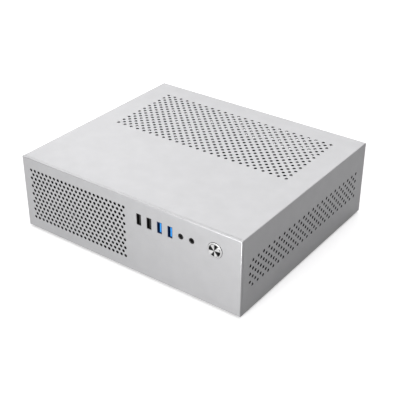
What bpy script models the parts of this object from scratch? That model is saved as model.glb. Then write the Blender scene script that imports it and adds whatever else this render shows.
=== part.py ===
"""Slim desktop computer in an aluminium case, as separate parts with working joints.

Axes: +Z is up, the front faces -Y, and +X is on the right seen from the front. The origin
lies under the middle of the whole object, at the level that the feet stand on.
All lengths are in metres and all angles in degrees.
"""

import math

import bmesh
import bpy
from mathutils import Matrix, Vector

# ------------------------------------------------------------------ driving dimensions

GAP = 0.0003  # left between pieces that touch
OVERLAP = 0.0005  # that shapes joined into one piece reach into each other

# Enclosure
CASE_WIDTH = 0.302
CASE_DEPTH = 0.261
CASE_HEIGHT = 0.092
PANEL_THICKNESS = 0.003
PANEL_EDGE = 0.0008
COVER_WALL = 0.0012
COVER_EDGE = 0.0010
COVER_LIP = 0.010
TRAY_WALL = 0.001
TRAY_FLANGE = 0.008
FOOT_HEIGHT = 0.002
FOOT_RADIUS = 0.008
FOOT_INSET = 0.025
KNOB_RADIUS = 0.0045
KNOB_LENGTH = 0.005
KNOB_SHANK_RADIUS = 0.0015
KNOB_SHANK_LENGTH = 0.006
KNOB_FROM_SIDE = 0.040
KNOB_FROM_TOP = 0.0072

# Power button
BUTTON_FROM_SIDE = 0.032
BUTTON_FROM_TOP = 0.0223
BUTTON_CAP_RADIUS = 0.0067
BUTTON_RING_FACE = 0.0020  # from the cap's edge to the ring's
BUTTON_BARREL_WALL = 0.0008
BUTTON_BARREL_LENGTH = 0.022
BUTTON_RING_PROUD = 0.001
BUTTON_CAP_PROUD = 0.0016
BUTTON_CAP_LENGTH = 0.006
BUTTON_STEM_RADIUS = 0.003
BUTTON_STEM_LENGTH = 0.004
BUTTON_TRAVEL = 0.0015
BUTTON_NUT_WALL = 0.0027
BUTTON_NUT_LENGTH = 0.003

# Front sockets, from the right: two round ones, then four upright rectangular ones
PORTS_FROM_SIDE = 0.0611
PORTS_FROM_TOP = 0.0225
PORT_PITCH = 0.01387
JACK_RADIUS = 0.0031
JACK_BORE_RADIUS = 0.00175
JACK_BORE_LENGTH = 0.012
USB_WIDTH = 0.0057
USB_LENGTH = 0.0131
USB_SHELL = 0.0004
USB_SOCKET_DEPTH = 0.009
USB_TONGUE = 0.0019
USB_TONGUE_OFFSET = 0.0008
USB_TONGUE_SHY = 0.0007
PORT_DEPTH = 0.016  # from the panel's face to the board behind the sockets
FRONT_BOARD_THICKNESS = 0.0016
FRONT_BOARD_HEIGHT = 0.024
FRONT_BOARD_MARGIN = 0.011
FRONT_POST_RADIUS = 0.0025

# Front fans behind the perforated part of the panel
GRILLE_FROM_SIDE = 0.0815
GRILLE_FROM_TOP = 0.0458
FRONT_FAN_SIDE = 0.060
FRONT_FAN_DEPTH = 0.015
FRONT_FAN_SPACE = 0.001

# Power supply unit, standing on its narrow side
PSU_WIDTH = 0.0405
PSU_HEIGHT = 0.0815
PSU_LENGTH = 0.150
PSU_WALL = 0.0008
PSU_RIM = 0.003  # of the rear wall round the unit's end
PSU_FAN_SIDE = 0.038
PSU_FAN_DEPTH = 0.015
INLET_WIDTH = 0.0275
INLET_HEIGHT = 0.020
INLET_WALL = 0.0018
INLET_DEPTH = 0.015
INLET_BODY_DEPTH = 0.020
INLET_PIN = (0.004, 0.002)
INLET_PIN_LENGTH = 0.012
INLET_PIN_PITCH = 0.007
INLET_EARTH_RISE = 0.004
ROCKER_WIDTH = 0.0166
ROCKER_HEIGHT = 0.011
ROCKER_DEPTH = 0.006
ROCKER_TILT = 10.0
ROCKER_CLEARANCE = 0.0012
PSU_SPACING = 0.003  # between the inlet, the rocker and the fan

# Main board
BOARD_WIDTH = 0.244
BOARD_DEPTH = 0.205
BOARD_THICKNESS = 0.0016
BOARD_TO_PSU = 0.0035
BOARD_TO_WALL = 0.0012
STANDOFF_HEIGHT = 0.00635
STANDOFF_RADIUS = 0.003
BOARD_HOLE_RADIUS = 0.002
BOARD_HOLES_X = (0.03429, 0.08001, 0.23749)  # from the board's left edge
BOARD_HOLES_Y = (0.01016, 0.1651)  # from its rear edge
SLOT_FIRST = 0.0114  # from the board's left edge
SLOT_PITCH = 0.02032
SLOT_COUNT = 4
SLOT_OPENING = (0.0127, 0.058)
SLOT_COVER_SIDE = 0.0024  # that a slot cover reaches past its opening
SLOT_COVER_WALL = 0.0009
SLOT_COVER_TAB = 0.010
CARD_SLOT = (0.0075, 0.089, 0.011)
CARD_SLOT_GROOVE = 0.002
CARD_SLOT_FROM_REAR = 0.052
IO_APERTURE = (0.15875, 0.04445)
IO_FROM_RIGHT = 0.00465
IO_BELOW_BOARD = 0.0022
IO_DEPTH = 0.018
CPU_FROM_RIGHT = 0.070
CPU_FROM_REAR = 0.086
SOCKET_SIDE = 0.045
SOCKET_HEIGHT = 0.007
COOLER_SIDE = 0.090
COOLER_BASE = 0.006
COOLER_HEIGHT = 0.034
COOLER_FINS = 16
COOLER_FIN = 0.0014
CPU_FAN_DEPTH = 0.015
MEMORY_FROM_RIGHT = 0.075
MEMORY_FROM_REAR = (0.150, 0.162)
MEMORY_LENGTH = 0.13335
MEMORY_HEIGHT = 0.03125
MEMORY_THICKNESS = 0.0013
MEMORY_SLOT = (0.1390, 0.0066, 0.0080)
MEMORY_GROOVE_DEPTH = 0.006
MEMORY_TOWER = (0.0035, 0.014)
MEMORY_CHIP = (0.0105, 0.0011, 0.0075)
MEMORY_CHIPS = 8
LATCH = (0.0045, 0.0045, 0.0215)
CHIPSET_FROM_LEFT = 0.046
CHIPSET_FROM_REAR = 0.172
CHIPSET_SINK = (0.038, 0.038, 0.009)
CELL_FROM_LEFT = 0.0775
CELL_FROM_REAR = 0.168
CELL_RADIUS = 0.010
CELL_SHOULDER = 0.0016  # from the holder's rim up to the cell's face
CELL_HOLDER_RADIUS = 0.0118
CELL_HOLDER_HEIGHT = 0.0045
DRIVE_FROM_LEFT = 0.0535
DRIVE_FROM_REAR = 0.050
DRIVE = (0.022, 0.080, 0.0026)
DRIVE_RISE = 0.004
MAIN_POWER_FROM_RIGHT = 0.046
MAIN_POWER = (0.0520, 0.0096, 0.0130)
MAIN_POWER_FROM_FRONT = 0.010
CPU_POWER_FROM_RIGHT = 0.013
CPU_POWER_FROM_REAR = 0.036
CPU_POWER = (0.0180, 0.0096, 0.0130)
PLUG_HEIGHT = 0.014
FRONT_PLUG = (0.018, 0.0065, 0.014)
FRONT_PLUG_FROM_SOCKET = 0.0157  # from its middle to the side of the main power socket
MAIN_CABLE_RADIUS = 0.0052
CPU_CABLE_RADIUS = 0.0034
FRONT_CABLE_RADIUS = 0.0026
CABLE_SLACK = 0.018  # height of a cable's bend above its plug

# ------------------------------------------------------------------ derived places

SIDE_X = CASE_WIDTH / 2
FRONT_REACH = BUTTON_CAP_PROUD
REAR_REACH = GAP + KNOB_LENGTH
FRONT_Y = FRONT_REACH - (CASE_DEPTH + FRONT_REACH + REAR_REACH) / 2
REAR_Y = FRONT_Y + CASE_DEPTH
BASE_Z = FOOT_HEIGHT + GAP
TOP_Z = BASE_Z + CASE_HEIGHT
PANEL_BACK = FRONT_Y + PANEL_THICKNESS
FLOOR_Z = BASE_Z + TRAY_WALL
CEILING_Z = TOP_Z - COVER_WALL
WALL_OUT = REAR_Y - COVER_WALL - GAP
WALL_IN = WALL_OUT - TRAY_WALL
TRAY_X = SIDE_X - COVER_WALL - GAP
INNER_X = TRAY_X - TRAY_WALL

PSU_RIGHT = INNER_X - GAP
PSU_LEFT = PSU_RIGHT - PSU_WIDTH
PSU_BOTTOM = FLOOR_Z + GAP
PSU_TOP = PSU_BOTTOM + PSU_HEIGHT
PSU_REAR = WALL_IN - GAP
PSU_FRONT = PSU_REAR - PSU_LENGTH
PSU_X = (PSU_LEFT + PSU_RIGHT) / 2

BOARD_RIGHT = PSU_LEFT - BOARD_TO_PSU
BOARD_LEFT = BOARD_RIGHT - BOARD_WIDTH
BOARD_REAR = WALL_IN - BOARD_TO_WALL
BOARD_FRONT = BOARD_REAR - BOARD_DEPTH
BOARD_BOTTOM = FLOOR_Z + STANDOFF_HEIGHT
BOARD_TOP = BOARD_BOTTOM + BOARD_THICKNESS
ON_BOARD = BOARD_TOP + GAP

PORTS_Z = TOP_Z - PORTS_FROM_TOP
PORTS_X = [SIDE_X - PORTS_FROM_SIDE - step * PORT_PITCH for step in range(6)]
BUTTON = Vector((SIDE_X - BUTTON_FROM_SIDE, FRONT_Y, TOP_Z - BUTTON_FROM_TOP))
BUTTON_RING_RADIUS = BUTTON_CAP_RADIUS + BUTTON_RING_FACE
BUTTON_BARREL_RADIUS = BUTTON_CAP_RADIUS + GAP + BUTTON_BARREL_WALL
BUTTON_NUT_RADIUS = BUTTON_BARREL_RADIUS + GAP + BUTTON_NUT_WALL
FRONT_BOARD_Y = FRONT_Y + PORT_DEPTH
COOLER_Z = ON_BOARD + SOCKET_HEIGHT + GAP
CPU = Vector((BOARD_RIGHT - CPU_FROM_RIGHT, BOARD_REAR - CPU_FROM_REAR, ON_BOARD))

# ------------------------------------------------------------------ scene, looks, helpers

for leftover in list(bpy.data.objects):
    bpy.data.objects.remove(leftover, do_unlink=True)


def new_collection(name):
    made = bpy.data.collections.new(name)
    bpy.context.scene.collection.children.link(made)
    return made


PARTS = new_collection("desktop_computer")
CUTTERS = new_collection("cutters")


def new_look(name, colour, roughness, metallic=0.0):
    look = bpy.data.materials.new(name)
    look.use_nodes = True
    shader = look.node_tree.nodes["Principled BSDF"]
    shader.inputs["Base Color"].default_value = (*colour, 1.0)
    shader.inputs["Roughness"].default_value = roughness
    shader.inputs["Metallic"].default_value = metallic
    look.diffuse_color = (*colour, 1.0)
    return look


LOOKS = {
    name: new_look(name, *values)
    for name, values in {
        "blasted_aluminium": ((0.72, 0.72, 0.73), 0.45, 1.0),
        "galvanised_steel": ((0.55, 0.56, 0.57), 0.40, 1.0),
        "polished_steel": ((0.80, 0.80, 0.80), 0.12, 1.0),
        "plated_steel": ((0.62, 0.62, 0.62), 0.30, 1.0),
        "sink_aluminium": ((0.66, 0.67, 0.68), 0.35, 1.0),
        "black_plastic": ((0.02, 0.02, 0.022), 0.45),
        "blue_plastic": ((0.02, 0.10, 0.45), 0.45),
        "grey_plastic": ((0.25, 0.25, 0.26), 0.5),
        "board_green": ((0.02, 0.09, 0.05), 0.4),
        "rubber": ((0.03, 0.03, 0.03), 0.8),
        "cable_black": ((0.025, 0.025, 0.03), 0.55),
    }.items()
}

TURNS = {
    "X": Matrix.Rotation(math.pi / 2, 4, "Y"),
    "Y": Matrix.Rotation(math.pi / 2, 4, "X"),
    "Z": Matrix.Identity(4),
}


def box(low, high, radius=0.0, rounded=None, turn=None):
    """A box between two corners. Edges whose middle passes rounded() get that radius."""

    def build(shape):
        size = Vector(high) - Vector(low)
        middle = (Vector(high) + Vector(low)) / 2
        made = bmesh.ops.create_cube(shape, size=1.0)
        bmesh.ops.scale(shape, vec=size, verts=made["verts"])
        bmesh.ops.translate(shape, vec=middle, verts=made["verts"])
        if turn:
            bmesh.ops.transform(shape, matrix=turn, verts=made["verts"])
        if radius:
            edges = {edge for vert in made["verts"] for edge in vert.link_edges}
            chosen = [edge for edge in edges if rounded((edge.verts[0].co + edge.verts[1].co) / 2)]
            bmesh.ops.bevel(
                shape, geom=chosen, offset=radius, segments=3, profile=0.5, affect="EDGES"
            )

    return build


def box_at(centre, size, **more):
    """A box of this size standing on its centre point's height."""
    x, y, z = centre
    return box(
        (x - size[0] / 2, y - size[1] / 2, z), (x + size[0] / 2, y + size[1] / 2, z + size[2]), **more
    )


def rod(centre, radius, length, axis="Z", sides=32):
    """A round bar along an axis, about its centre."""

    def build(shape):
        bmesh.ops.create_cone(
            shape,
            cap_ends=True,
            segments=sides,
            radius1=radius,
            radius2=radius,
            depth=length,
            matrix=Matrix.Translation(centre) @ TURNS[axis],
        )

    return build


def put(name, mesh, look, location, turn=(0.0, 0.0, 0.0)):
    """A part if it has a look, otherwise a cutter."""
    made = bpy.data.objects.new(name, mesh)
    made.location = location
    made.rotation_euler = [math.radians(angle) for angle in turn]
    if look:
        if not mesh.materials:
            mesh.materials.append(LOOKS[look])
        PARTS.objects.link(made)
    else:
        made.hide_render = True
        made.display_type = "WIRE"
        CUTTERS.objects.link(made)
    return made


def solid(name, shapes, look=None, origin=None, turn=None):
    """An object made of shapes in world places, or local ones if it is turned about origin."""
    shape = bmesh.new()
    for build in shapes:
        build(shape)
    if origin is None:
        corners = [vert.co for vert in shape.verts]
        low = Vector([min(point[axis] for point in corners) for axis in range(3)])
        high = Vector([max(point[axis] for point in corners) for axis in range(3)])
        origin = (low + high) / 2
    if turn is None:
        bmesh.ops.translate(shape, vec=-Vector(origin), verts=shape.verts)
    mesh = bpy.data.meshes.new(name)
    shape.to_mesh(mesh)
    shape.free()
    mesh.set_sharp_from_angle(angle=math.radians(30))
    return put(name, mesh, look, origin, turn or (0.0, 0.0, 0.0))


def turned(name, profile, look, location, turn):
    """A turned piece: profile is (radius, height) pairs from top to bottom."""
    mesh = bpy.data.meshes.new(name)
    points = [(radius, 0.0, height) for radius, height in profile]
    mesh.from_pydata(points, [(step, step + 1) for step in range(len(points) - 1)], [])
    made = put(name, mesh, look, location, turn)
    spin = made.modifiers.new("turn", "SCREW")
    spin.steps = spin.render_steps = 40
    spin.use_merge_vertices = True
    spin.merge_threshold = 0.00001
    return made


def combine(target, operation, tools):
    for tool in tools:
        change = target.modifiers.new(tool.name, "BOOLEAN")
        change.operation = operation
        change.object = tool


def cut(target, *tools):
    combine(target, "DIFFERENCE", tools)


def join(target, *tools):
    combine(target, "UNION", tools)


def grown(low, high, by):
    """The corners of a box that much larger all round."""
    return Vector(low) - Vector((by, by, by)), Vector(high) + Vector((by, by, by))


# ------------------------------------------------------------------ enclosure


def make_feet():
    left_right = {"left": -1, "right": 1}
    front_rear = {"front": FRONT_Y + FOOT_INSET, "rear": REAR_Y - FOOT_INSET}
    profile = [
        (0.0, FOOT_HEIGHT),
        (FOOT_RADIUS, FOOT_HEIGHT),
        (FOOT_RADIUS, 0.0005),
        (FOOT_RADIUS - 0.0005, 0.0),
        (0.0, 0.0),
    ]
    for end, y in front_rear.items():
        for side, sign in left_right.items():
            place = (sign * (SIDE_X - FOOT_INSET), y, 0.0)
            turned(f"foot_{end}_{side}", profile, "rubber", place, (0, 0, 0))


def board_holes():
    return [(BOARD_LEFT + x, BOARD_REAR - y) for x in BOARD_HOLES_X for y in BOARD_HOLES_Y]


def slot_lines():
    return [BOARD_LEFT + SLOT_FIRST + step * SLOT_PITCH for step in range(SLOT_COUNT)]


def io_corners():
    right = BOARD_RIGHT - IO_FROM_RIGHT
    bottom = BOARD_TOP - IO_BELOW_BOARD
    return (right - IO_APERTURE[0], WALL_IN, bottom), (right, WALL_OUT, bottom + IO_APERTURE[1])


def knob_places():
    x = SIDE_X - KNOB_FROM_SIDE
    z = TOP_Z - KNOB_FROM_TOP
    return {"left": Vector((-x, REAR_Y, z)), "right": Vector((x, REAR_Y, z))}


def make_tray():
    front = PANEL_BACK + GAP
    far = 0.01  # that a cutter runs past the sheet it cuts
    tray = solid(
        "base_tray",
        [box((-TRAY_X, front, BASE_Z), (TRAY_X, WALL_OUT, CEILING_Z - GAP))],
        "galvanised_steel",
    )
    hollow = solid(
        "tray_hollow",
        [box((-INNER_X, front + TRAY_WALL, FLOOR_Z), (INNER_X, WALL_IN, TOP_Z + far))],
    )
    above = solid(
        "tray_above_flanges",
        [box((-SIDE_X, front - far, BASE_Z + TRAY_FLANGE), (SIDE_X, WALL_IN, TOP_Z + far))],
    )
    io_low, io_high = io_corners()
    openings = [box((io_low[0], WALL_IN - far, io_low[2]), (io_high[0], WALL_OUT + far, io_high[2]))]
    for x in slot_lines():
        openings.append(
            box(
                (x - SLOT_OPENING[0] / 2, WALL_IN - far, BOARD_TOP),
                (x + SLOT_OPENING[0] / 2, WALL_OUT + far, BOARD_TOP + SLOT_OPENING[1]),
            )
        )
    openings.append(
        box(
            (PSU_LEFT + PSU_RIM, WALL_IN - far, PSU_BOTTOM + PSU_RIM),
            (PSU_RIGHT - PSU_RIM, WALL_OUT + far, PSU_TOP - PSU_RIM),
        )
    )
    height = STANDOFF_HEIGHT - GAP + OVERLAP
    posts = [
        rod((x, y, BOARD_BOTTOM - GAP - height / 2), STANDOFF_RADIUS, height, sides=12)
        for x, y in board_holes()
    ]
    knob_holes = [
        rod((place.x, WALL_OUT, place.z), KNOB_SHANK_RADIUS + GAP, 2 * far, axis="Y", sides=20)
        for place in knob_places().values()
    ]
    cut(tray, hollow, above, solid("rear_openings", openings + knob_holes))
    join(tray, solid("standoffs", posts))


def make_cover():
    front = PANEL_BACK + GAP
    far = 0.01
    cover = solid(
        "top_cover",
        [
            box(
                (-SIDE_X, front, BASE_Z),
                (SIDE_X, REAR_Y, TOP_Z),
                radius=COVER_EDGE,
                rounded=lambda middle: middle.z > TOP_Z - GAP and abs(middle.x) > SIDE_X - GAP,
            )
        ],
        "blasted_aluminium",
    )
    inside = solid(
        "cover_inside",
        [
            box(
                (COVER_WALL - SIDE_X, front - far, BASE_Z - far),
                (SIDE_X - COVER_WALL, REAR_Y - COVER_WALL, CEILING_Z),
            )
        ],
    )
    rear_way = solid(
        "cover_rear_way",
        [
            box(
                (COVER_LIP - SIDE_X, REAR_Y - 2 * COVER_WALL, BASE_Z - far),
                (SIDE_X - COVER_LIP, REAR_Y + far, TOP_Z - COVER_LIP),
            )
        ],
    )
    knob_holes = solid(
        "cover_knob_holes",
        [
            rod(place, KNOB_SHANK_RADIUS + GAP, 3 * COVER_WALL, axis="Y", sides=20)
            for place in knob_places().values()
        ],
    )
    cut(cover, inside, rear_way, knob_holes)


def make_cover_screws():
    """Thumbscrews that hold the cover's lips to the rear wall. Their heads face the rear."""
    rim = 0.0005
    profile = [
        (0.0, KNOB_LENGTH + GAP),
        (KNOB_RADIUS - rim, KNOB_LENGTH + GAP),
        (KNOB_RADIUS, KNOB_LENGTH + GAP - rim),
        (KNOB_RADIUS, GAP),
        (KNOB_SHANK_RADIUS, GAP),
        (KNOB_SHANK_RADIUS, -KNOB_SHANK_LENGTH),
        (0.0, -KNOB_SHANK_LENGTH),
    ]
    for side, place in knob_places().items():
        turned(f"cover_screw_{side}", profile, "plated_steel", place, (-90, 0, 0))


def make_front_panel():
    panel = solid(
        "front_panel",
        [
            box(
                (-SIDE_X, FRONT_Y, BASE_Z),
                (SIDE_X, PANEL_BACK, TOP_Z),
                radius=PANEL_EDGE,
                rounded=lambda middle: middle.y < FRONT_Y + GAP,
            )
        ],
        "blasted_aluminium",
    )
    through = 3 * PANEL_THICKNESS
    middle_y = (FRONT_Y + PANEL_BACK) / 2
    holes = [rod((BUTTON.x, middle_y, BUTTON.z), BUTTON_BARREL_RADIUS + GAP, through, axis="Y", sides=40)]
    for x in PORTS_X[:2]:
        holes.append(rod((x, middle_y, PORTS_Z), JACK_RADIUS + GAP, through, axis="Y", sides=28))
    for x in PORTS_X[2:]:
        half_width = USB_WIDTH / 2 + GAP
        half_length = USB_LENGTH / 2 + GAP
        holes.append(
            box(
                (x - half_width, middle_y - through / 2, PORTS_Z - half_length),
                (x + half_width, middle_y + through / 2, PORTS_Z + half_length),
            )
        )
    cut(panel, solid("panel_openings", holes))
    post_length = FRONT_BOARD_Y - GAP - PANEL_BACK + OVERLAP
    posts = [
        rod(
            (x, FRONT_BOARD_Y - GAP - post_length / 2, PORTS_Z),
            FRONT_POST_RADIUS,
            post_length,
            axis="Y",
            sides=12,
        )
        for x in front_board_ends(inset=FRONT_POST_RADIUS + GAP)
    ]
    join(panel, solid("front_board_posts", posts))


# ------------------------------------------------------------------ front sockets and button


def front_board_ends(inset=0.0):
    return PORTS_X[-1] - FRONT_BOARD_MARGIN + inset, PORTS_X[0] + FRONT_BOARD_MARGIN - inset


def make_front_board():
    left, right = front_board_ends()
    solid(
        "front_io_board",
        [
            box(
                (left, FRONT_BOARD_Y, PORTS_Z - FRONT_BOARD_HEIGHT / 2),
                (right, FRONT_BOARD_Y + FRONT_BOARD_THICKNESS, PORTS_Z + FRONT_BOARD_HEIGHT / 2),
            )
        ],
        "board_green",
    )


def make_usb_port(name, x, look):
    """An upright socket: a shell open at the front, with a tongue set towards its right side."""
    front = FRONT_Y + GAP
    back = FRONT_BOARD_Y - GAP
    shell = solid(
        name,
        [
            box(
                (x - USB_WIDTH / 2, front, PORTS_Z - USB_LENGTH / 2),
                (x + USB_WIDTH / 2, back, PORTS_Z + USB_LENGTH / 2),
            )
        ],
        look,
    )
    half_width = USB_WIDTH / 2 - USB_SHELL
    half_length = USB_LENGTH / 2 - USB_SHELL
    cavity = solid(
        f"{name}_cavity",
        [
            box(
                (x - half_width, front - 0.005, PORTS_Z - half_length),
                (x + half_width, front + USB_SOCKET_DEPTH, PORTS_Z + half_length),
            )
        ],
    )
    tongue_x = x + USB_TONGUE_OFFSET
    tongue_half = half_length - USB_TONGUE_SHY
    tongue = solid(
        f"{name}_tongue",
        [
            box(
                (tongue_x - USB_TONGUE / 2, front + USB_TONGUE_SHY, PORTS_Z - tongue_half),
                (tongue_x + USB_TONGUE / 2, front + USB_SOCKET_DEPTH + 0.001, PORTS_Z + tongue_half),
            )
        ],
    )
    cut(shell, cavity)
    join(shell, tongue)


def make_jack(name, x):
    """A round socket whose mouth is flush with the panel."""
    length = FRONT_BOARD_Y - GAP - FRONT_Y
    profile = [
        (JACK_BORE_RADIUS, -JACK_BORE_LENGTH),
        (JACK_BORE_RADIUS, 0.0),
        (JACK_RADIUS, 0.0),
        (JACK_RADIUS, -length),
        (0.0, -length),
    ]
    profile.insert(0, (0.0, -JACK_BORE_LENGTH))
    turned(name, profile, "black_plastic", (x, FRONT_Y, PORTS_Z), (90, 0, 0))


def make_front_sockets():
    for number, x in enumerate(PORTS_X[:2], start=1):
        make_jack(f"audio_jack_{number}", x)
    for number, x in enumerate(PORTS_X[2:4], start=1):
        make_usb_port(f"usb_fast_port_{number}", x, "blue_plastic")
    for number, x in enumerate(PORTS_X[4:], start=1):
        make_usb_port(f"usb_port_{number}", x, "black_plastic")


def make_power_button():
    inner = BUTTON_CAP_RADIUS + GAP
    barrel = BUTTON_BARREL_RADIUS
    bottom = -BUTTON_BARREL_LENGTH
    cavity = -(BUTTON_CAP_LENGTH + BUTTON_STEM_LENGTH + BUTTON_TRAVEL + GAP)
    body = [
        (0.0, cavity),
        (inner, cavity),
        (inner, BUTTON_RING_PROUD),
        (BUTTON_RING_RADIUS - GAP, BUTTON_RING_PROUD),
        (BUTTON_RING_RADIUS, BUTTON_RING_PROUD - GAP),
        (BUTTON_RING_RADIUS, GAP),
        (barrel, GAP),
        (barrel, bottom),
        (0.0, bottom),
    ]
    turned("power_button_body", body, "polished_steel", BUTTON, (90, 0, 0))
    edge = 0.0006
    cap = [
        (0.0, BUTTON_CAP_PROUD),
        (BUTTON_CAP_RADIUS - edge, BUTTON_CAP_PROUD),
        (BUTTON_CAP_RADIUS, BUTTON_CAP_PROUD - edge),
        (BUTTON_CAP_RADIUS, -BUTTON_CAP_LENGTH),
        (BUTTON_STEM_RADIUS, -BUTTON_CAP_LENGTH),
        (BUTTON_STEM_RADIUS, -BUTTON_CAP_LENGTH - BUTTON_STEM_LENGTH),
        (0.0, -BUTTON_CAP_LENGTH - BUTTON_STEM_LENGTH),
    ]
    turned("power_button_cap", cap, "polished_steel", BUTTON, (90, 0, 0))
    nut_y = PANEL_BACK + GAP + BUTTON_NUT_LENGTH / 2
    nut = solid(
        "power_button_nut",
        [rod((BUTTON.x, nut_y, BUTTON.z), BUTTON_NUT_RADIUS, BUTTON_NUT_LENGTH, axis="Y", sides=6)],
        "plated_steel",
    )
    bore = rod((BUTTON.x, nut_y, BUTTON.z), barrel + GAP, 3 * BUTTON_NUT_LENGTH, axis="Y", sides=40)
    cut(nut, solid("nut_bore", [bore]))


# ------------------------------------------------------------------ fans


def make_fan(name, centre, side, depth, turn, blades):
    """A square fan. In its own frame it stands on z = 0, and its spokes are at the bottom."""
    wall = 0.0012
    bore = side / 2 - wall
    hub = side * 0.21
    spoke_height = 0.0018
    half = side / 2
    frame = solid(
        f"{name}_frame",
        [
            box(
                (-half, -half, 0.0),
                (half, half, depth),
                radius=side * 0.05,
                rounded=lambda middle: abs(abs(middle.x) - half) < GAP and abs(abs(middle.y) - half) < GAP,
            )
        ],
        "black_plastic",
        centre,
        turn,
    )
    screw = side * 0.42
    holes = [
        rod((x, y, depth / 2), side * 0.028, 3 * depth, sides=12)
        for x in (-screw, screw)
        for y in (-screw, screw)
    ]
    holes.append(rod((0.0, 0.0, depth / 2), bore, 3 * depth, sides=64))
    spokes = [
        box(
            (hub - 0.001, -0.0012, 0.0),
            (bore + wall / 2, 0.0012, spoke_height),
            turn=Matrix.Rotation(math.radians(angle), 4, "Z"),
        )
        for angle in (0, 90, 180, 270)
    ]
    mount = rod((0.0, 0.0, spoke_height / 2), hub, spoke_height, sides=32)
    cut(frame, solid(f"{name}_frame_holes", holes, None, centre, turn))
    join(
        frame,
        solid(f"{name}_spokes", spokes, None, centre, turn),
        solid(f"{name}_motor_mount", [mount], None, centre, turn),
    )
    low = spoke_height + 2 * GAP
    high = depth - 2 * GAP
    rotor = solid(
        f"{name}_rotor",
        [rod((0.0, 0.0, (low + high) / 2), hub - GAP, high - low, sides=32)],
        "black_plastic",
        centre,
        turn,
    )
    tip = bore - 0.0012
    pitch = math.radians(38)
    chord = min(2 * math.pi * hub / blades * 0.85, (high - low - 0.001) / math.sin(pitch))
    reach = math.sqrt(tip**2 - (chord / 2) ** 2)
    twist = Matrix.Translation((0.0, 0.0, (low + high) / 2)) @ Matrix.Rotation(pitch, 4, "X")
    vanes = [
        box(
            (hub - 0.0015, -chord / 2, -0.0005),
            (reach, chord / 2, 0.0005),
            turn=Matrix.Rotation(2 * math.pi * step / blades, 4, "Z") @ twist,
        )
        for step in range(blades)
    ]
    join(rotor, solid(f"{name}_vanes", vanes, None, centre, turn))


def make_front_fans():
    centre_x = GRILLE_FROM_SIDE - SIDE_X
    step = (FRONT_FAN_SIDE + FRONT_FAN_SPACE) / 2
    y = PANEL_BACK + GAP + FRONT_FAN_DEPTH
    for name, x in (("left", centre_x - step), ("right", centre_x + step)):
        place = (x, y, TOP_Z - GRILLE_FROM_TOP)
        make_fan(f"front_fan_{name}", place, FRONT_FAN_SIDE, FRONT_FAN_DEPTH, (90, 0, 0), 7)


# ------------------------------------------------------------------ power supply unit


def psu_rows():
    """The heights of the middles of the inlet, the rocker and the fan."""
    inlet = PSU_BOTTOM + PSU_RIM + GAP + INLET_HEIGHT / 2
    rocker = inlet + INLET_HEIGHT / 2 + PSU_SPACING + ROCKER_HEIGHT / 2
    fan = PSU_TOP - PSU_WALL - 2 * GAP - PSU_FAN_SIDE / 2
    return inlet, rocker, fan


def make_psu_housing():
    inlet_z, rocker_z, fan_z = psu_rows()
    plate_front = PSU_REAR - PSU_WALL
    housing = solid(
        "psu_housing",
        [box((PSU_LEFT, PSU_FRONT, PSU_BOTTOM), (PSU_RIGHT, plate_front - GAP, PSU_TOP))],
        "galvanised_steel",
    )
    inside = box(
        (PSU_LEFT + PSU_WALL, PSU_FRONT + PSU_WALL, PSU_BOTTOM + PSU_WALL),
        (PSU_RIGHT - PSU_WALL, PSU_REAR + 0.01, PSU_TOP - PSU_WALL),
    )
    cut(housing, solid("psu_inside", [inside]))

    plate = solid(
        "psu_rear_plate",
        [box((PSU_LEFT, plate_front, PSU_BOTTOM), (PSU_RIGHT, PSU_REAR, PSU_TOP))],
        "galvanised_steel",
    )
    far = 0.01
    inlet = box(
        (PSU_X - INLET_WIDTH / 2 - GAP, plate_front - far, inlet_z - INLET_HEIGHT / 2 - GAP),
        (PSU_X + INLET_WIDTH / 2 + GAP, PSU_REAR + far, inlet_z + INLET_HEIGHT / 2 + GAP),
    )
    half_width = ROCKER_WIDTH / 2 + ROCKER_CLEARANCE
    rocker = box(
        (PSU_X - half_width, plate_front - far, rocker_z - ROCKER_HEIGHT / 2 - GAP),
        (PSU_X + half_width, PSU_REAR + far, rocker_z + ROCKER_HEIGHT / 2 + GAP),
    )
    air = rod((PSU_X, PSU_REAR, fan_z), PSU_FAN_SIDE / 2 - 0.002, 2 * far, axis="Y", sides=40)
    cut(plate, solid("psu_plate_openings", [inlet, rocker, air]))
    make_fan(
        "psu_fan",
        (PSU_X, plate_front - GAP - PSU_FAN_DEPTH, fan_z),
        PSU_FAN_SIDE,
        PSU_FAN_DEPTH,
        (-90, 0, 0),
        7,
    )


def make_psu_inlet():
    """The mains inlet: a deep recess with three flat pins."""
    z = psu_rows()[0]
    back = PSU_REAR - INLET_BODY_DEPTH
    half_width = INLET_WIDTH / 2
    half_height = INLET_HEIGHT / 2
    body = solid(
        "psu_inlet",
        [box((PSU_X - half_width, back, z - half_height), (PSU_X + half_width, PSU_REAR, z + half_height))],
        "black_plastic",
    )
    recess = box(
        (PSU_X - half_width + INLET_WALL, PSU_REAR - INLET_DEPTH, z - half_height + INLET_WALL),
        (PSU_X + half_width - INLET_WALL, PSU_REAR + 0.01, z + half_height - INLET_WALL),
    )
    floor = PSU_REAR - INLET_DEPTH
    pins = []
    for step, rise in ((-1, 0.0), (0, INLET_EARTH_RISE), (1, 0.0)):
        x = PSU_X + step * INLET_PIN_PITCH
        pins.append(
            box(
                (x - INLET_PIN[1] / 2, floor - 0.001, z + rise - INLET_PIN[0] / 2),
                (x + INLET_PIN[1] / 2, floor + INLET_PIN_LENGTH, z + rise + INLET_PIN[0] / 2),
            )
        )
    cut(body, solid("inlet_recess", [recess]))
    join(body, solid("inlet_pins", pins))


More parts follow.
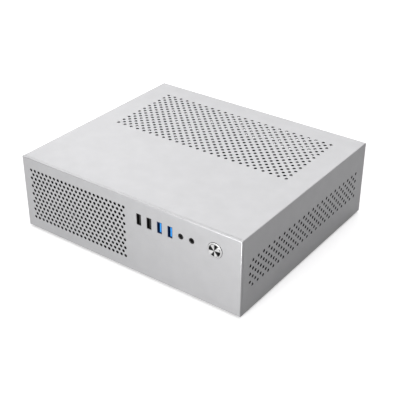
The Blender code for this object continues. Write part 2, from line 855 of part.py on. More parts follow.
def make_psu_rocker():
    """The mains rocker. Its two faces meet in a shallow ridge, and it rests tilted to one side."""
    z = psu_rows()[1]
    half = ROCKER_WIDTH / 2
    fall = half * math.tan(math.radians(ROCKER_TILT))
    outline = [(0.0, ROCKER_DEPTH / 2), (half, ROCKER_DEPTH / 2 - fall), (half, -ROCKER_DEPTH / 2)]
    outline += [(-x, y) for x, y in reversed(outline[1:])]
    curve = bpy.data.curves.new("psu_rocker_outline", "CURVE")
    curve.dimensions = "2D"
    curve.fill_mode = "BOTH"
    curve.extrude = ROCKER_HEIGHT / 2
    spline = curve.splines.new("POLY")
    spline.points.add(len(outline) - 1)
    for point, (x, y) in zip(spline.points, outline):
        point.co = (x, y, 0.0, 1.0)
    spline.use_cyclic_u = True
    place = (PSU_X, PSU_REAR - ROCKER_DEPTH / 2 + ROCKER_CLEARANCE, z)
    mesh_from_curve("psu_rocker", curve, "black_plastic", place, (0, 0, ROCKER_TILT))


def mesh_from_curve(name, curve, look, location=(0, 0, 0), turn=(0, 0, 0)):
    """A closed mesh object from a filled or bevelled curve. The curve itself is removed."""
    guide = bpy.data.objects.new(f"{name}_guide", curve)
    guide.location = location
    guide.rotation_euler = [math.radians(angle) for angle in turn]
    bpy.context.scene.collection.objects.link(guide)
    bpy.context.view_layer.update()
    evaluated = guide.evaluated_get(bpy.context.evaluated_depsgraph_get())
    mesh = bpy.data.meshes.new_from_object(evaluated)
    shape = bmesh.new()
    shape.from_mesh(mesh)
    bmesh.ops.remove_doubles(shape, verts=shape.verts, dist=0.00001)
    bmesh.ops.recalc_face_normals(shape, faces=shape.faces)
    shape.to_mesh(mesh)
    shape.free()
    made = put(name, mesh, look, (0, 0, 0))
    made.matrix_world = guide.matrix_world.copy()
    bpy.data.objects.remove(guide, do_unlink=True)
    return made


def make_psu_board():
    """The unit's own circuit board with its transformer, coils, capacitors and heat sinks."""
    inner_left = PSU_LEFT + PSU_WALL
    low_y = PSU_FRONT + 0.006
    high_y = PSU_REAR - PSU_FAN_DEPTH - 0.010
    low_z = PSU_BOTTOM + PSU_WALL + 0.003
    high_z = PSU_TOP - PSU_WALL - 0.003
    face = inner_left + 0.003 + BOARD_THICKNESS
    board = solid(
        "psu_board",
        [box((inner_left + 0.003, low_y, low_z), (face, high_y, high_z))],
        "board_green",
    )
    length = high_y - low_y
    height = high_z - low_z
    blocks = []
    for start, end, bottom, top, rise in (
        (0.08, 0.30, 0.30, 0.70, 0.024),
        (0.36, 0.42, 0.10, 0.90, 0.026),
        (0.48, 0.66, 0.20, 0.50, 0.022),
        (0.72, 0.78, 0.10, 0.90, 0.026),
    ):
        blocks.append(
            box(
                (face - 0.0005, low_y + start * length, low_z + bottom * height),
                (face + rise, low_y + end * length, low_z + top * height),
            )
        )
    cans = [
        rod((face + 0.010, low_y + 0.57 * length, low_z + share * height), 0.0055, 0.021, axis="X", sides=20)
        for share in (0.62, 0.82)
    ]
    join(board, solid("psu_components", blocks + cans))


# ------------------------------------------------------------------ main board


def make_motherboard():
    board = solid(
        "motherboard",
        [box((BOARD_LEFT, BOARD_FRONT, BOARD_BOTTOM), (BOARD_RIGHT, BOARD_REAR, BOARD_TOP))],
        "board_green",
    )
    holes = [
        rod((x, y, BOARD_BOTTOM), BOARD_HOLE_RADIUS, 4 * BOARD_THICKNESS, sides=16)
        for x, y in board_holes()
    ]
    cut(board, solid("board_holes", holes))


def make_processor_and_cooler():
    solid(
        "cpu_socket",
        [box_at(CPU, (SOCKET_SIDE, SOCKET_SIDE, SOCKET_HEIGHT))],
        "plated_steel",
    )
    base = Vector((CPU.x, CPU.y, COOLER_Z))
    sink = solid("cpu_heatsink", [box_at(base, (COOLER_SIDE, COOLER_SIDE, COOLER_HEIGHT))], "sink_aluminium")
    pitch = (COOLER_SIDE - COOLER_FIN) / (COOLER_FINS - 1)
    first = CPU.x - COOLER_SIDE / 2 + COOLER_FIN
    slots = [
        box(
            (first + step * pitch, CPU.y - COOLER_SIDE, COOLER_Z + COOLER_BASE),
            (first + (step + 1) * pitch - COOLER_FIN, CPU.y + COOLER_SIDE, COOLER_Z + 2 * COOLER_HEIGHT),
        )
        for step in range(COOLER_FINS - 1)
    ]
    cut(sink, solid("cooler_slots", slots))
    top = (CPU.x, CPU.y, COOLER_Z + COOLER_HEIGHT + GAP)
    make_fan("cpu_fan", top, COOLER_SIDE, CPU_FAN_DEPTH, (0, 0, 0), 9)


def make_memory():
    """Two slots along X, each with a module, a fixed tower on the right and a latch on the left."""
    centre_x = BOARD_RIGHT - MEMORY_FROM_RIGHT
    length, width, height = MEMORY_SLOT
    left = centre_x - length / 2
    right = centre_x + length / 2
    module_bottom = ON_BOARD + height - MEMORY_GROOVE_DEPTH + GAP
    for number, from_rear in enumerate(MEMORY_FROM_REAR, start=1):
        y = BOARD_REAR - from_rear
        slot = solid(
            f"memory_slot_{number}",
            [box((left, y - width / 2, ON_BOARD), (right, y + width / 2, ON_BOARD + height))],
            "black_plastic",
        )
        tower = box(
            (right - 0.001, y - width / 2, ON_BOARD),
            (right + MEMORY_TOWER[0], y + width / 2, ON_BOARD + MEMORY_TOWER[1]),
        )
        half_groove = MEMORY_THICKNESS / 2 + GAP
        groove = box(
            (centre_x - MEMORY_LENGTH / 2 - GAP, y - half_groove, ON_BOARD + height - MEMORY_GROOVE_DEPTH),
            (centre_x + MEMORY_LENGTH / 2 + GAP, y + half_groove, ON_BOARD + 3 * height),
        )
        join(slot, solid(f"memory_tower_{number}", [tower]))
        cut(slot, solid(f"memory_groove_{number}", [groove]))
        make_memory_module(number, centre_x, y, module_bottom)
        pivot = (left - GAP - LATCH[0] / 2, y, ON_BOARD + LATCH[0] / 2)
        make_latch(f"memory_latch_{number}", pivot)


def make_memory_module(number, centre_x, y, bottom):
    board = solid(
        f"memory_module_{number}",
        [box_at((centre_x, y, bottom), (MEMORY_LENGTH, MEMORY_THICKNESS, MEMORY_HEIGHT))],
        "board_green",
    )
    chip_z = bottom + MEMORY_HEIGHT * 0.42
    pitch = MEMORY_LENGTH / MEMORY_CHIPS
    depth = MEMORY_THICKNESS + 2 * MEMORY_CHIP[1]
    chips = [
        box_at(
            (centre_x + (step - (MEMORY_CHIPS - 1) / 2) * pitch, y, chip_z),
            (MEMORY_CHIP[0], depth, MEMORY_CHIP[2]),
        )
        for step in range(MEMORY_CHIPS)
    ]
    join(board, solid(f"memory_chips_{number}", chips))


def make_latch(name, pivot):
    """A lever that stands against the end of the slot and swings outwards about its round foot."""
    width, depth, height = LATCH
    x, y, z = pivot
    top = z - width / 2 + height
    stem = box((x - width / 2, y - depth / 2, z), (x + width / 2, y + depth / 2, top))
    latch = solid(name, [stem], "grey_plastic", pivot)
    foot = rod(pivot, width / 2, depth, axis="Y", sides=24)
    grip = box((x - width, y - depth / 2, top - 0.004), (x + width / 4, y + depth / 2, top + 0.001))
    join(latch, solid(f"{name}_foot", [foot], None, pivot), solid(f"{name}_grip", [grip], None, pivot))


def make_card_slot():
    width, length, height = CARD_SLOT
    x = slot_lines()[-1]
    y = BOARD_REAR - CARD_SLOT_FROM_REAR - length / 2
    slot = solid("card_slot", [box_at((x, y, ON_BOARD), CARD_SLOT)], "black_plastic")
    groove = box_at((x, y, ON_BOARD + 0.003), (CARD_SLOT_GROOVE, length - 0.006, height))
    cut(slot, solid("card_slot_groove", [groove]))


def make_small_board_parts():
    sink_x = BOARD_LEFT + CHIPSET_FROM_LEFT
    sink_y = BOARD_REAR - CHIPSET_FROM_REAR
    sink = solid("chipset_heatsink", [box_at((sink_x, sink_y, ON_BOARD), CHIPSET_SINK)], "sink_aluminium")
    pitch = CHIPSET_SINK[0] / 7
    slots = [
        box_at((sink_x + (step - 2.5) * pitch, sink_y, ON_BOARD + 0.004), (pitch / 2, 0.1, CHIPSET_SINK[2]))
        for step in range(6)
    ]
    cut(sink, solid("chipset_slots", slots))

    x = BOARD_LEFT + DRIVE_FROM_LEFT
    y = BOARD_REAR - DRIVE_FROM_REAR - DRIVE[1] / 2
    drive = solid("solid_state_drive", [box_at((x, y, ON_BOARD + DRIVE_RISE), DRIVE)], "board_green")
    socket_y = y + DRIVE[1] / 2 - 0.003
    socket = box_at((x, socket_y, ON_BOARD), (DRIVE[0], 0.007, DRIVE_RISE + DRIVE[2] + 0.001))
    join(drive, solid("drive_socket", [socket]))

    cell_x = BOARD_LEFT + CELL_FROM_LEFT
    cell_y = BOARD_REAR - CELL_FROM_REAR
    profile = [
        (0.0, CELL_HOLDER_HEIGHT),
        (CELL_RADIUS, CELL_HOLDER_HEIGHT),
        (CELL_RADIUS, CELL_HOLDER_HEIGHT - CELL_SHOULDER),
        (CELL_HOLDER_RADIUS, CELL_HOLDER_HEIGHT - CELL_SHOULDER),
        (CELL_HOLDER_RADIUS, 0.0),
        (0.0, 0.0),
    ]
    turned("clock_battery", profile, "plated_steel", (cell_x, cell_y, ON_BOARD), (0, 0, 0))


def main_power_place():
    return Vector((BOARD_RIGHT - MAIN_POWER_FROM_RIGHT, BOARD_FRONT + MAIN_POWER_FROM_FRONT, ON_BOARD))


def cpu_power_place():
    return Vector((BOARD_RIGHT - CPU_POWER_FROM_RIGHT, BOARD_REAR - CPU_POWER_FROM_REAR, ON_BOARD))


def make_power_sockets():
    solid("main_power_socket", [box_at(main_power_place(), MAIN_POWER)], "black_plastic")
    solid("cpu_power_socket", [box_at(cpu_power_place(), CPU_POWER)], "black_plastic")


# ------------------------------------------------------------------ rear sockets and slot covers

# Each rear socket block: its middle from the aperture's right edge, its width and its height.
REAR_BLOCKS = {
    "display_socket": (0.016, 0.0170, 0.0160),
    "rear_usb_stack_1": (0.042, 0.0146, 0.0172),
    "rear_usb_stack_2": (0.066, 0.0146, 0.0172),
    "network_socket": (0.093, 0.0162, 0.0290),
    "rear_audio_stack": (0.134, 0.0120, 0.0350),
}
REAR_USB = (0.0125, 0.0051)
REAR_USB_PITCH = 0.0080
NETWORK_MOUTH = (0.0118, 0.0080)
DISPLAY_MOUTH = (0.0142, 0.0046)
DISPLAY_TONGUE = (0.0110, 0.0013)
REAR_JACK_PITCH = 0.0115


def rear_block_box(name):
    """The corners of a rear socket block. Its mouth is flush with the rear wall."""
    from_right, width, height = REAR_BLOCKS[name]
    x = io_corners()[1][0] - from_right
    low = Vector((x - width / 2, WALL_OUT - IO_DEPTH, ON_BOARD))
    return low, Vector((x + width / 2, WALL_OUT - GAP / 2, ON_BOARD + height))


def rear_block(name, mouths, tongues, look):
    low, high = rear_block_box(name)
    block = solid(name, [box(low, high)], look)
    cut(block, solid(f"{name}_mouths", mouths))
    if tongues:
        join(block, solid(f"{name}_tongues", tongues))


def mouth(x, z, size, depth, back=0.0):
    """A box from behind the rear wall's face inwards. back shortens it at its mouth."""
    return box(
        (x - size[0] / 2, WALL_OUT - depth, z - size[1] / 2),
        (x + size[0] / 2, WALL_OUT + (0.005 if not back else -back), z + size[1] / 2),
    )


def usb_tongues(x, rows, depth):
    size = (REAR_USB[0] - 2 * USB_TONGUE_SHY, USB_TONGUE)
    return [mouth(x, z + USB_TONGUE_OFFSET, size, depth + OVERLAP, 0.001) for z in rows]


def make_rear_sockets():
    depth = 0.010
    for name in ("rear_usb_stack_1", "rear_usb_stack_2"):
        low, high = rear_block_box(name)
        x = (low.x + high.x) / 2
        middle = (low.z + high.z) / 2
        rows = [middle - REAR_USB_PITCH / 2, middle + REAR_USB_PITCH / 2]
        mouths = [mouth(x, z, REAR_USB, depth) for z in rows]
        rear_block(name, mouths, usb_tongues(x, rows, depth), "plated_steel")

    low, high = rear_block_box("display_socket")
    x = (low.x + high.x) / 2
    rows = [low.z + 0.0045, high.z - 0.0045]
    mouths = [mouth(x, z, DISPLAY_MOUTH, depth) for z in rows]
    tongues = [mouth(x, z, DISPLAY_TONGUE, depth + OVERLAP, 0.001) for z in rows]
    rear_block("display_socket", mouths, tongues, "plated_steel")

    low, high = rear_block_box("network_socket")
    x = (low.x + high.x) / 2
    usb_rows = [low.z + 0.0045, low.z + 0.0045 + REAR_USB_PITCH]
    mouths = [mouth(x, z, REAR_USB, depth) for z in usb_rows]
    mouths.append(mouth(x, high.z - 0.0015 - NETWORK_MOUTH[1] / 2, NETWORK_MOUTH, 0.013))
    rear_block("network_socket", mouths, usb_tongues(x, usb_rows, depth), "plated_steel")

    low, high = rear_block_box("rear_audio_stack")
    rear_block("rear_audio_stack", rear_jacks(JACK_BORE_RADIUS), None, "black_plastic")


def rear_jacks(radius):
    low, high = rear_block_box("rear_audio_stack")
    x = (low.x + high.x) / 2
    middle = (low.z + high.z) / 2
    return [
        rod((x, WALL_OUT, middle + step * REAR_JACK_PITCH), radius, 2 * JACK_BORE_LENGTH, axis="Y", sides=24)
        for step in (-1, 0, 1)
    ]


def make_io_shield():
    low, high = (Vector(corner) for corner in io_corners())
    edge = Vector((GAP, 0.0, GAP))
    shield = solid("io_shield", [box(low + edge, high - edge)], "plated_steel")
    windows = []
    for name in REAR_BLOCKS:
        block_low, block_high = rear_block_box(name)
        wide_low, wide_high = grown(block_low, block_high, GAP)
        low_corner = (wide_low.x, WALL_IN - 0.01, wide_low.z)
        windows.append(box(low_corner, (wide_high.x, WALL_OUT + 0.01, wide_high.z)))
    cut(shield, solid("shield_windows", windows))


def make_slot_covers():
    inside = WALL_IN - GAP
    for number, x in enumerate(slot_lines(), start=1):
        half = SLOT_OPENING[0] / 2 + SLOT_COVER_SIDE
        bottom = ON_BOARD
        top = BOARD_TOP + SLOT_OPENING[1] + SLOT_COVER_SIDE
        tab = box((x - half, inside - SLOT_COVER_TAB, top - SLOT_COVER_WALL), (x + half, inside, top))
        blank = solid(
            f"slot_cover_{number}",
            [box((x - half, inside - SLOT_COVER_WALL, bottom), (x + half, inside, top))],
            "plated_steel",
        )
        join(blank, solid(f"slot_cover_tab_{number}", [tab]))


# ------------------------------------------------------------------ internal cables


def smooth_route(points, steps=4):
    """Points along a smooth curve through the given ones."""
    ends = [2 * points[0] - points[1]] + points + [2 * points[-1] - points[-2]]
    route = []
    for index in range(1, len(ends) - 2):
        before, start, end, after = ends[index - 1 : index + 3]
        for step in range(steps):
            t = step / steps
            route.append(
                0.5
                * (
                    2 * start
                    + (end - before) * t
                    + (2 * before - 5 * start + 4 * end - after) * t**2
                    + (3 * start - before - 3 * end + after) * t**3
                )
            )
    return route + [points[-1]]


def make_cable(name, points, radius, plug=None):
    curve = bpy.data.curves.new(name, "CURVE")
    curve.dimensions = "3D"
    curve.bevel_depth = radius
    curve.bevel_resolution = 2
    curve.use_fill_caps = True
    route = smooth_route([Vector(point) for point in points])
    spline = curve.splines.new("POLY")
    spline.points.add(len(route) - 1)
    for point, place in zip(spline.points, route):
        point.co = (*place, 1.0)
    cable = mesh_from_curve(name, curve, "cable_black")
    if plug:
        join(cable, solid(f"{name}_plug", [plug]))


def make_cables():
    socket = main_power_place()
    top = socket.z + MAIN_POWER[2] + GAP
    plug = box_at((socket.x, socket.y, top), (MAIN_POWER[0], MAIN_POWER[1], PLUG_HEIGHT))
    exit_z = PSU_BOTTOM + PSU_HEIGHT * 0.45
    start = Vector((PSU_X, PSU_FRONT - 3 * GAP, exit_z))
    high = top + PLUG_HEIGHT + CABLE_SLACK
    route = [
        start,
        start + Vector((0, -0.012, 0)),
        start + Vector((-0.006, -0.026, (high - exit_z) * 0.4)),
        Vector(((PSU_X + socket.x) / 2, (start.y + socket.y) / 2 - 0.012, high - 0.004)),
        Vector((socket.x + 0.012, socket.y + 0.002, high)),
        Vector((socket.x + 0.002, socket.y, high - 0.010)),
        Vector((socket.x, socket.y, top + PLUG_HEIGHT - 0.002)),
    ]
    make_cable("main_power_cable", route, MAIN_CABLE_RADIUS, plug)

    socket = cpu_power_place()
    top = socket.z + CPU_POWER[2] + GAP
    plug = box_at((socket.x, socket.y, top), (CPU_POWER[0], CPU_POWER[1], PLUG_HEIGHT))
    corridor = PSU_LEFT - 0.010
    start = Vector((PSU_X - 0.006, PSU_FRONT - 3 * GAP, PSU_BOTTOM + PSU_HEIGHT * 0.78))
    high = start.z
    route = [
        start,
        start + Vector((0, -0.010, 0)),
        start + Vector((-0.010, -0.020, 0)),
        Vector((corridor + 0.004, PSU_FRONT - 0.012, high)),
        Vector((corridor, PSU_FRONT + 0.010, high)),
        Vector((corridor, (PSU_FRONT + socket.y) / 2, high - 0.002)),
        Vector((corridor - 0.002, socket.y - 0.016, high - 0.006)),
        Vector((socket.x, socket.y - 0.002, top + PLUG_HEIGHT + 0.008)),
        Vector((socket.x, socket.y, top + PLUG_HEIGHT - 0.002)),
    ]
    make_cable("cpu_power_cable", route, CPU_CABLE_RADIUS, plug)

    header_x = main_power_place().x - MAIN_POWER[0] / 2 - FRONT_PLUG_FROM_SOCKET
    header = Vector((header_x, BOARD_FRONT + 0.006, ON_BOARD))
    plug = box_at(header, FRONT_PLUG)
    start_y = FRONT_BOARD_Y + FRONT_BOARD_THICKNESS + GAP
    start = Vector((PORTS_X[-1], start_y, PORTS_Z - 0.003))
    route = [
        start,
        start + Vector((0, 0.007, 0)),
        start + Vector((-0.001, 0.014, -0.006)),
        Vector((header.x + 0.001, header.y - 0.004, header.z + 0.034)),
        Vector((header.x, header.y, header.z + 0.022)),
        Vector((header.x, header.y, header.z + 0.012)),
    ]
    make_cable("front_io_cable", route, FRONT_CABLE_RADIUS, plug)


# ------------------------------------------------------------------ assembly

make_feet()
make_tray()
make_cover()
make_cover_screws()
make_front_panel()
make_front_board()
make_front_sockets()
make_power_button()
make_front_fans()
make_psu_housing()
make_psu_inlet()
make_psu_rocker()
make_psu_board()
make_motherboard()
make_processor_and_cooler()
make_memory()
make_card_slot()
make_small_board_parts()
make_power_sockets()
make_rear_sockets()
make_io_shield()
make_slot_covers()
make_cables()
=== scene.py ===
"""The looks of a slim desktop computer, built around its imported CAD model."""

import math
import random

import bmesh
import bpy
from mathutils import Matrix, Vector


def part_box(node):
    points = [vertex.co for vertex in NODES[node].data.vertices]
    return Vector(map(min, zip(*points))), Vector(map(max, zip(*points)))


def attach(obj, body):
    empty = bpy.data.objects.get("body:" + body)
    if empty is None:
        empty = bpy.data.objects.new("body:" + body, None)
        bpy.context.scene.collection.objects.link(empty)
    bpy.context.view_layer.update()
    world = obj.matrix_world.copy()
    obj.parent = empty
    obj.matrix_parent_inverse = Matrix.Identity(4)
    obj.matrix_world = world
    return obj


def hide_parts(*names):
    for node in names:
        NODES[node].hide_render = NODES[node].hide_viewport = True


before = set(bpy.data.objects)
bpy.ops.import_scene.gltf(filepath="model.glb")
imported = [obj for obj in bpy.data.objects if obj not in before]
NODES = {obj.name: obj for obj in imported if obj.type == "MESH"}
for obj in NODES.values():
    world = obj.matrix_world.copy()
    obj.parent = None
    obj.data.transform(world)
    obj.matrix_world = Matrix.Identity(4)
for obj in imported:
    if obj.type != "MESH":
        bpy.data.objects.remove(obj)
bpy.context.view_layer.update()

# ------------------------------------------------------------------ sizes, in metres

MM = 0.001
GAP = 0.3 * MM  # between pieces that touch

HOLE_RADIUS = 1.85 * MM
HOLE_CHAMFER = 0.12 * MM
HOLE_SIDES = 20

# The front field: staggered rows of round holes on a 60 degree pattern.
FRONT_PITCH = 6.0 * MM
FRONT_ROWS = 13
FRONT_LONG_ROW = 24
FRONT_FIELD_MIDDLE = (-69.5 * MM, 46.2 * MM)  # from the case's middle, and up from its base
FRONT_ROW_PITCH = FRONT_PITCH * math.sqrt(3) / 2

# The top and side fields: rows 5 mm apart, every second one shifted by half a pitch.
VENT_PITCH = 10.0 * MM
VENT_ROW_PITCH = 5.0 * MM
TOP_ROWS = 21
TOP_LONG_ROW = 25
TOP_FIELD_REAR = 101.9 * MM  # its last row, from the case's middle
SIDE_ROWS = 7
SIDE_ROW_HOLES = 23
SIDE_FIELD_TOP = 59.5 * MM  # its top row, up from the base
SIDE_FIELD_FRONT = -109.0 * MM  # its first hole, from the case's middle

FRONT_SKIN = 1.2 * MM  # the front is milled to this from behind, where it is perforated
PANEL_EDGE = 0.8 * MM
COVER_EDGE = 1.0 * MM
COVER_LIP = 10.0 * MM

# ------------------------------------------------------------------ camera, light and floor

CAMERA_AZIMUTH = 0.630640  # radians from the front, towards the right
CAMERA_ELEVATION = 0.535894
CAMERA_ROLL = 0.001337
CAMERA_DISTANCE = 1.02792
CAMERA_SHIFT = (4.1328 * MM, -19.1293 * MM)  # sideways and upwards, in its own picture plane
CAMERA_LENS = 78.145  # millimetres, on a 36 mm sensor

case_low, case_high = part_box("top_cover")
panel_low, panel_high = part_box("front_panel")
BASE_Z = panel_low.z
TOP_Z = panel_high.z
FRONT_Y = panel_low.y
REAR_Y = case_high.y
SIDE_X = panel_high.x
MIDDLE = Vector((0.0, (FRONT_Y + REAR_Y) / 2, (BASE_Z + TOP_Z) / 2))


def make_camera():
    back = Vector(
        (
            math.sin(CAMERA_AZIMUTH) * math.cos(CAMERA_ELEVATION),
            -math.cos(CAMERA_AZIMUTH) * math.cos(CAMERA_ELEVATION),
            math.sin(CAMERA_ELEVATION),
        )
    )
    right = (-back).cross(Vector((0, 0, 1))).normalized()
    above = right.cross(-back)
    turn = Matrix.Rotation(CAMERA_ROLL, 3, back)
    right, above = turn @ right, turn @ above
    camera = bpy.data.objects.new("camera", bpy.data.cameras.new("camera"))
    camera.data.lens = CAMERA_LENS
    camera.data.sensor_width = 36.0
    camera.data.clip_end = 50.0
    place = MIDDLE + back * CAMERA_DISTANCE + right * CAMERA_SHIFT[0] + above * CAMERA_SHIFT[1]
    axes = Matrix((right, above, back)).transposed()
    camera.matrix_world = Matrix.Translation(place) @ axes.to_4x4()
    bpy.context.scene.collection.objects.link(camera)
    bpy.context.scene.camera = camera


def soft_box(name, place, aim, size, power, colour=(1.0, 1.0, 1.0)):
    light = bpy.data.lights.new(name, "AREA")
    light.shape = "RECTANGLE"
    light.size, light.size_y = size
    light.energy = power
    light.color = colour
    made = bpy.data.objects.new(name, light)
    made.location = place
    direction = Vector(aim) - Vector(place)
    made.rotation_euler = direction.to_track_quat("-Z", "Y").to_euler()
    bpy.context.scene.collection.objects.link(made)


def make_studio():
    """A pale floor and soft light: a broad overhead box, a front fill and a rear box for the top."""
    scene = bpy.context.scene
    scene.view_settings.view_transform = "Standard"
    scene.world = bpy.data.worlds.new("studio")
    scene.world.use_nodes = True
    air = scene.world.node_tree.nodes["Background"]
    air.inputs["Color"].default_value = (1.0, 0.99, 1.0, 1.0)
    air.inputs["Strength"].default_value = 0.31
    soft_box("overhead_box", (-0.15, 0.15, 1.7), (0.0, 0.0, 0.0), (1.6, 1.6), 10.0)
    soft_box("front_box", (0.12, -1.7, 0.25), (0.05, 0.0, 0.05), (0.7, 0.4), 33.5)
    soft_box("rear_box", (-0.65, 1.6, 1.2), (0.0, 0.0, 0.1), (1.7, 0.9), 6.6)
    soft_box("left_box", (-1.7, 0.9, 1.1), (0.05, 0.0, 0.05), (1.2, 0.8), 5.0)
    soft_box("right_box", (1.1, 0.5, 0.9), (0.3, 0.0, 0.0), (0.8, 0.5), 3.0)

    floor = bpy.data.objects.new("floor", bpy.data.meshes.new("floor"))
    shape = bmesh.new()
    bmesh.ops.create_circle(shape, cap_ends=True, segments=96, radius=20.0)
    shape.to_mesh(floor.data)
    shape.free()
    bpy.context.scene.collection.objects.link(floor)
    floor.data.materials.append(floor_paper())


# ------------------------------------------------------------------ materials


def add(tree, kind, inputs=None, **settings):
    """A shader node with its settings and inputs; an input is a number, a colour or another socket."""
    made = tree.nodes.new(kind)
    for key, value in settings.items():
        setattr(made, key, value)
    for key, value in (inputs or {}).items():
        if isinstance(value, bpy.types.NodeSocket):
            tree.links.new(value, made.inputs[key])
        else:
            made.inputs[key].default_value = value
    return made


def new_material(name):
    """A material, its node tree and its Principled shader."""
    made = bpy.data.materials.new(name)
    made.use_nodes = True
    return made, made.node_tree, made.node_tree.nodes["Principled BSDF"]


def grey(value):
    return (value, value, value, 1.0)


def ramp(tree, factor, low, high, start=0.0, end=1.0):
    """A colour or value that runs from low to high as factor runs from start to end."""
    made = add(tree, "ShaderNodeValToRGB", {"Fac": factor})
    made.color_ramp.elements[0].position = start
    made.color_ramp.elements[1].position = end
    made.color_ramp.elements[0].color = low
    made.color_ramp.elements[1].color = high
    return made.outputs["Color"]


def noise(tree, place, scale, detail=3.0):
    return add(
        tree, "ShaderNodeTexNoise", {"Vector": place, "Scale": scale, "Detail": detail}
    ).outputs["Fac"]


def span(tree, factor, low, high):
    return add(
        tree,
        "ShaderNodeMapRange",
        {"Value": factor, "From Min": 0.3, "From Max": 0.7, "To Min": low, "To Max": high},
    ).outputs["Result"]


def floor_paper():
    """Pale paper. It is brighter to the camera than to the light that it throws on the object."""
    made, tree, shader = new_material("floor_paper")
    place = add(tree, "ShaderNodeTexCoord").outputs["Object"]
    tint = ramp(tree, noise(tree, place, 30.0), grey(0.93), grey(0.96))
    tree.links.new(tint, shader.inputs["Base Color"])
    shader.inputs["Roughness"].default_value = 0.9
    shader.inputs["Specular IOR Level"].default_value = 0.1
    tree.links.new(tint, shader.inputs["Emission Color"])
    shader.inputs["Emission Strength"].default_value = 0.42
    dim = add(tree, "ShaderNodeBsdfDiffuse", {"Color": grey(0.47)})
    seen = add(tree, "ShaderNodeLightPath").outputs["Is Camera Ray"]
    mixed = add(tree, "ShaderNodeMixShader", {0: seen, 1: dim.outputs[0], 2: shader.outputs[0]})
    tree.links.new(mixed.outputs[0], tree.nodes["Material Output"].inputs["Surface"])
    return made


def finish_material(
    name, low, high, metallic, roughness, grain, bump, tint_scale=60.0, spread=0.06, detail=4.0
):
    """A surface whose colour wanders between two tints, with grain of one size in its relief."""
    made, tree, shader = new_material(name)
    place = add(tree, "ShaderNodeTexCoord").outputs["Object"]
    fine = noise(tree, place, 1.0 / grain, detail)
    broad = noise(tree, place, tint_scale)
    blend = add(tree, "ShaderNodeMath", {0: broad, 1: fine}, operation="ADD")
    half = add(tree, "ShaderNodeMath", {0: blend.outputs[0], 1: 0.5}, operation="MULTIPLY")
    tree.links.new(ramp(tree, half.outputs[0], low, high, 0.35, 0.65), shader.inputs["Base Color"])
    shader.inputs["Metallic"].default_value = metallic
    rough = span(tree, fine, roughness - spread, roughness + spread)
    tree.links.new(rough, shader.inputs["Roughness"])
    relief = add(tree, "ShaderNodeBump", {"Height": fine, "Strength": 1.0, "Distance": bump})
    tree.links.new(relief.outputs["Normal"], shader.inputs["Normal"])
    return made


def zinc_material():
    """Galvanised sheet: flat crystal patches of slightly different greys, and faint rolling lines."""
    made, tree, shader = new_material("zinc_steel")
    place = add(tree, "ShaderNodeTexCoord").outputs["Object"]
    cells = add(tree, "ShaderNodeTexVoronoi", {"Vector": place, "Scale": 260.0}).outputs["Color"]
    patch = add(tree, "ShaderNodeSeparateColor", {"Color": cells}).outputs[0]
    fine = noise(tree, place, 900.0)
    tree.links.new(ramp(tree, patch, grey(0.40), grey(0.52)), shader.inputs["Base Color"])
    shader.inputs["Metallic"].default_value = 1.0
    tree.links.new(span(tree, patch, 0.30, 0.44), shader.inputs["Roughness"])
    relief = add(tree, "ShaderNodeBump", {"Height": fine, "Distance": 0.004 * MM})
    tree.links.new(relief.outputs["Normal"], shader.inputs["Normal"])
    return made


def turned_wave(tree, angle, count, shift):
    turn = add(tree, "ShaderNodeMath", {0: angle, 1: count, 2: shift}, operation="MULTIPLY_ADD")
    return add(tree, "ShaderNodeMath", {0: turn.outputs[0]}, operation="SINE").outputs[0]


def turned_metal(name, place, low, high, painted_glint_wedges=0):
    """A face turned on a lathe about Y: fine rings, and, when wedges are asked for, painted reflections:
    wedges of painted highlight and painted shade in its colour round its middle.
    """
    made, tree, shader = new_material(name)
    spot = add(tree, "ShaderNodeTexCoord").outputs["Object"]
    away = add(tree, "ShaderNodeVectorMath", {0: spot, 1: place}, operation="SUBTRACT").outputs[0]
    split = add(tree, "ShaderNodeSeparateXYZ", {"Vector": away})
    flat = add(tree, "ShaderNodeCombineXYZ", {"X": split.outputs[0], "Y": split.outputs[2]})
    reach = add(tree, "ShaderNodeVectorMath", {0: flat.outputs[0]}, operation="LENGTH").outputs["Value"]
    many = add(tree, "ShaderNodeMath", {0: reach, 1: 2 * math.pi / (0.22 * MM)}, operation="MULTIPLY")
    rings = add(tree, "ShaderNodeMath", {0: many.outputs[0]}, operation="SINE").outputs[0]
    # The colour runs from the low to the high tint by the angle round the middle: painted highlights and
    # painted shade that stand in for a turned face's glints.
    if painted_glint_wedges:
        angle = add(
            tree, "ShaderNodeMath", {0: split.outputs[2], 1: split.outputs[0]}, operation="ARCTAN2"
        ).outputs[0]
        wave = turned_wave(tree, angle, painted_glint_wedges, -0.25)
        uneven = turned_wave(tree, angle, painted_glint_wedges / 2, -0.52)
        wave = add(tree, "ShaderNodeMath", {0: uneven, 1: 0.4, 2: wave}, operation="MULTIPLY_ADD")
        soft = add(tree, "ShaderNodeMath", {0: wave.outputs[0], 1: 0.5, 2: 0.5}, operation="MULTIPLY_ADD")
        tint = ramp(tree, soft.outputs[0], low, high, 0.36, 0.72)
    else:
        tint = ramp(tree, noise(tree, spot, 700.0), low, high, 0.35, 0.65)
    tree.links.new(tint, shader.inputs["Base Color"])
    shader.inputs["Metallic"].default_value = 1.0
    rough = add(tree, "ShaderNodeMath", {0: rings, 1: 0.03, 2: 0.42}, operation="MULTIPLY_ADD")
    tree.links.new(rough.outputs[0], shader.inputs["Roughness"])
    relief = add(tree, "ShaderNodeBump", {"Height": rings, "Distance": 0.002 * MM})
    tree.links.new(relief.outputs["Normal"], shader.inputs["Normal"])
    return made


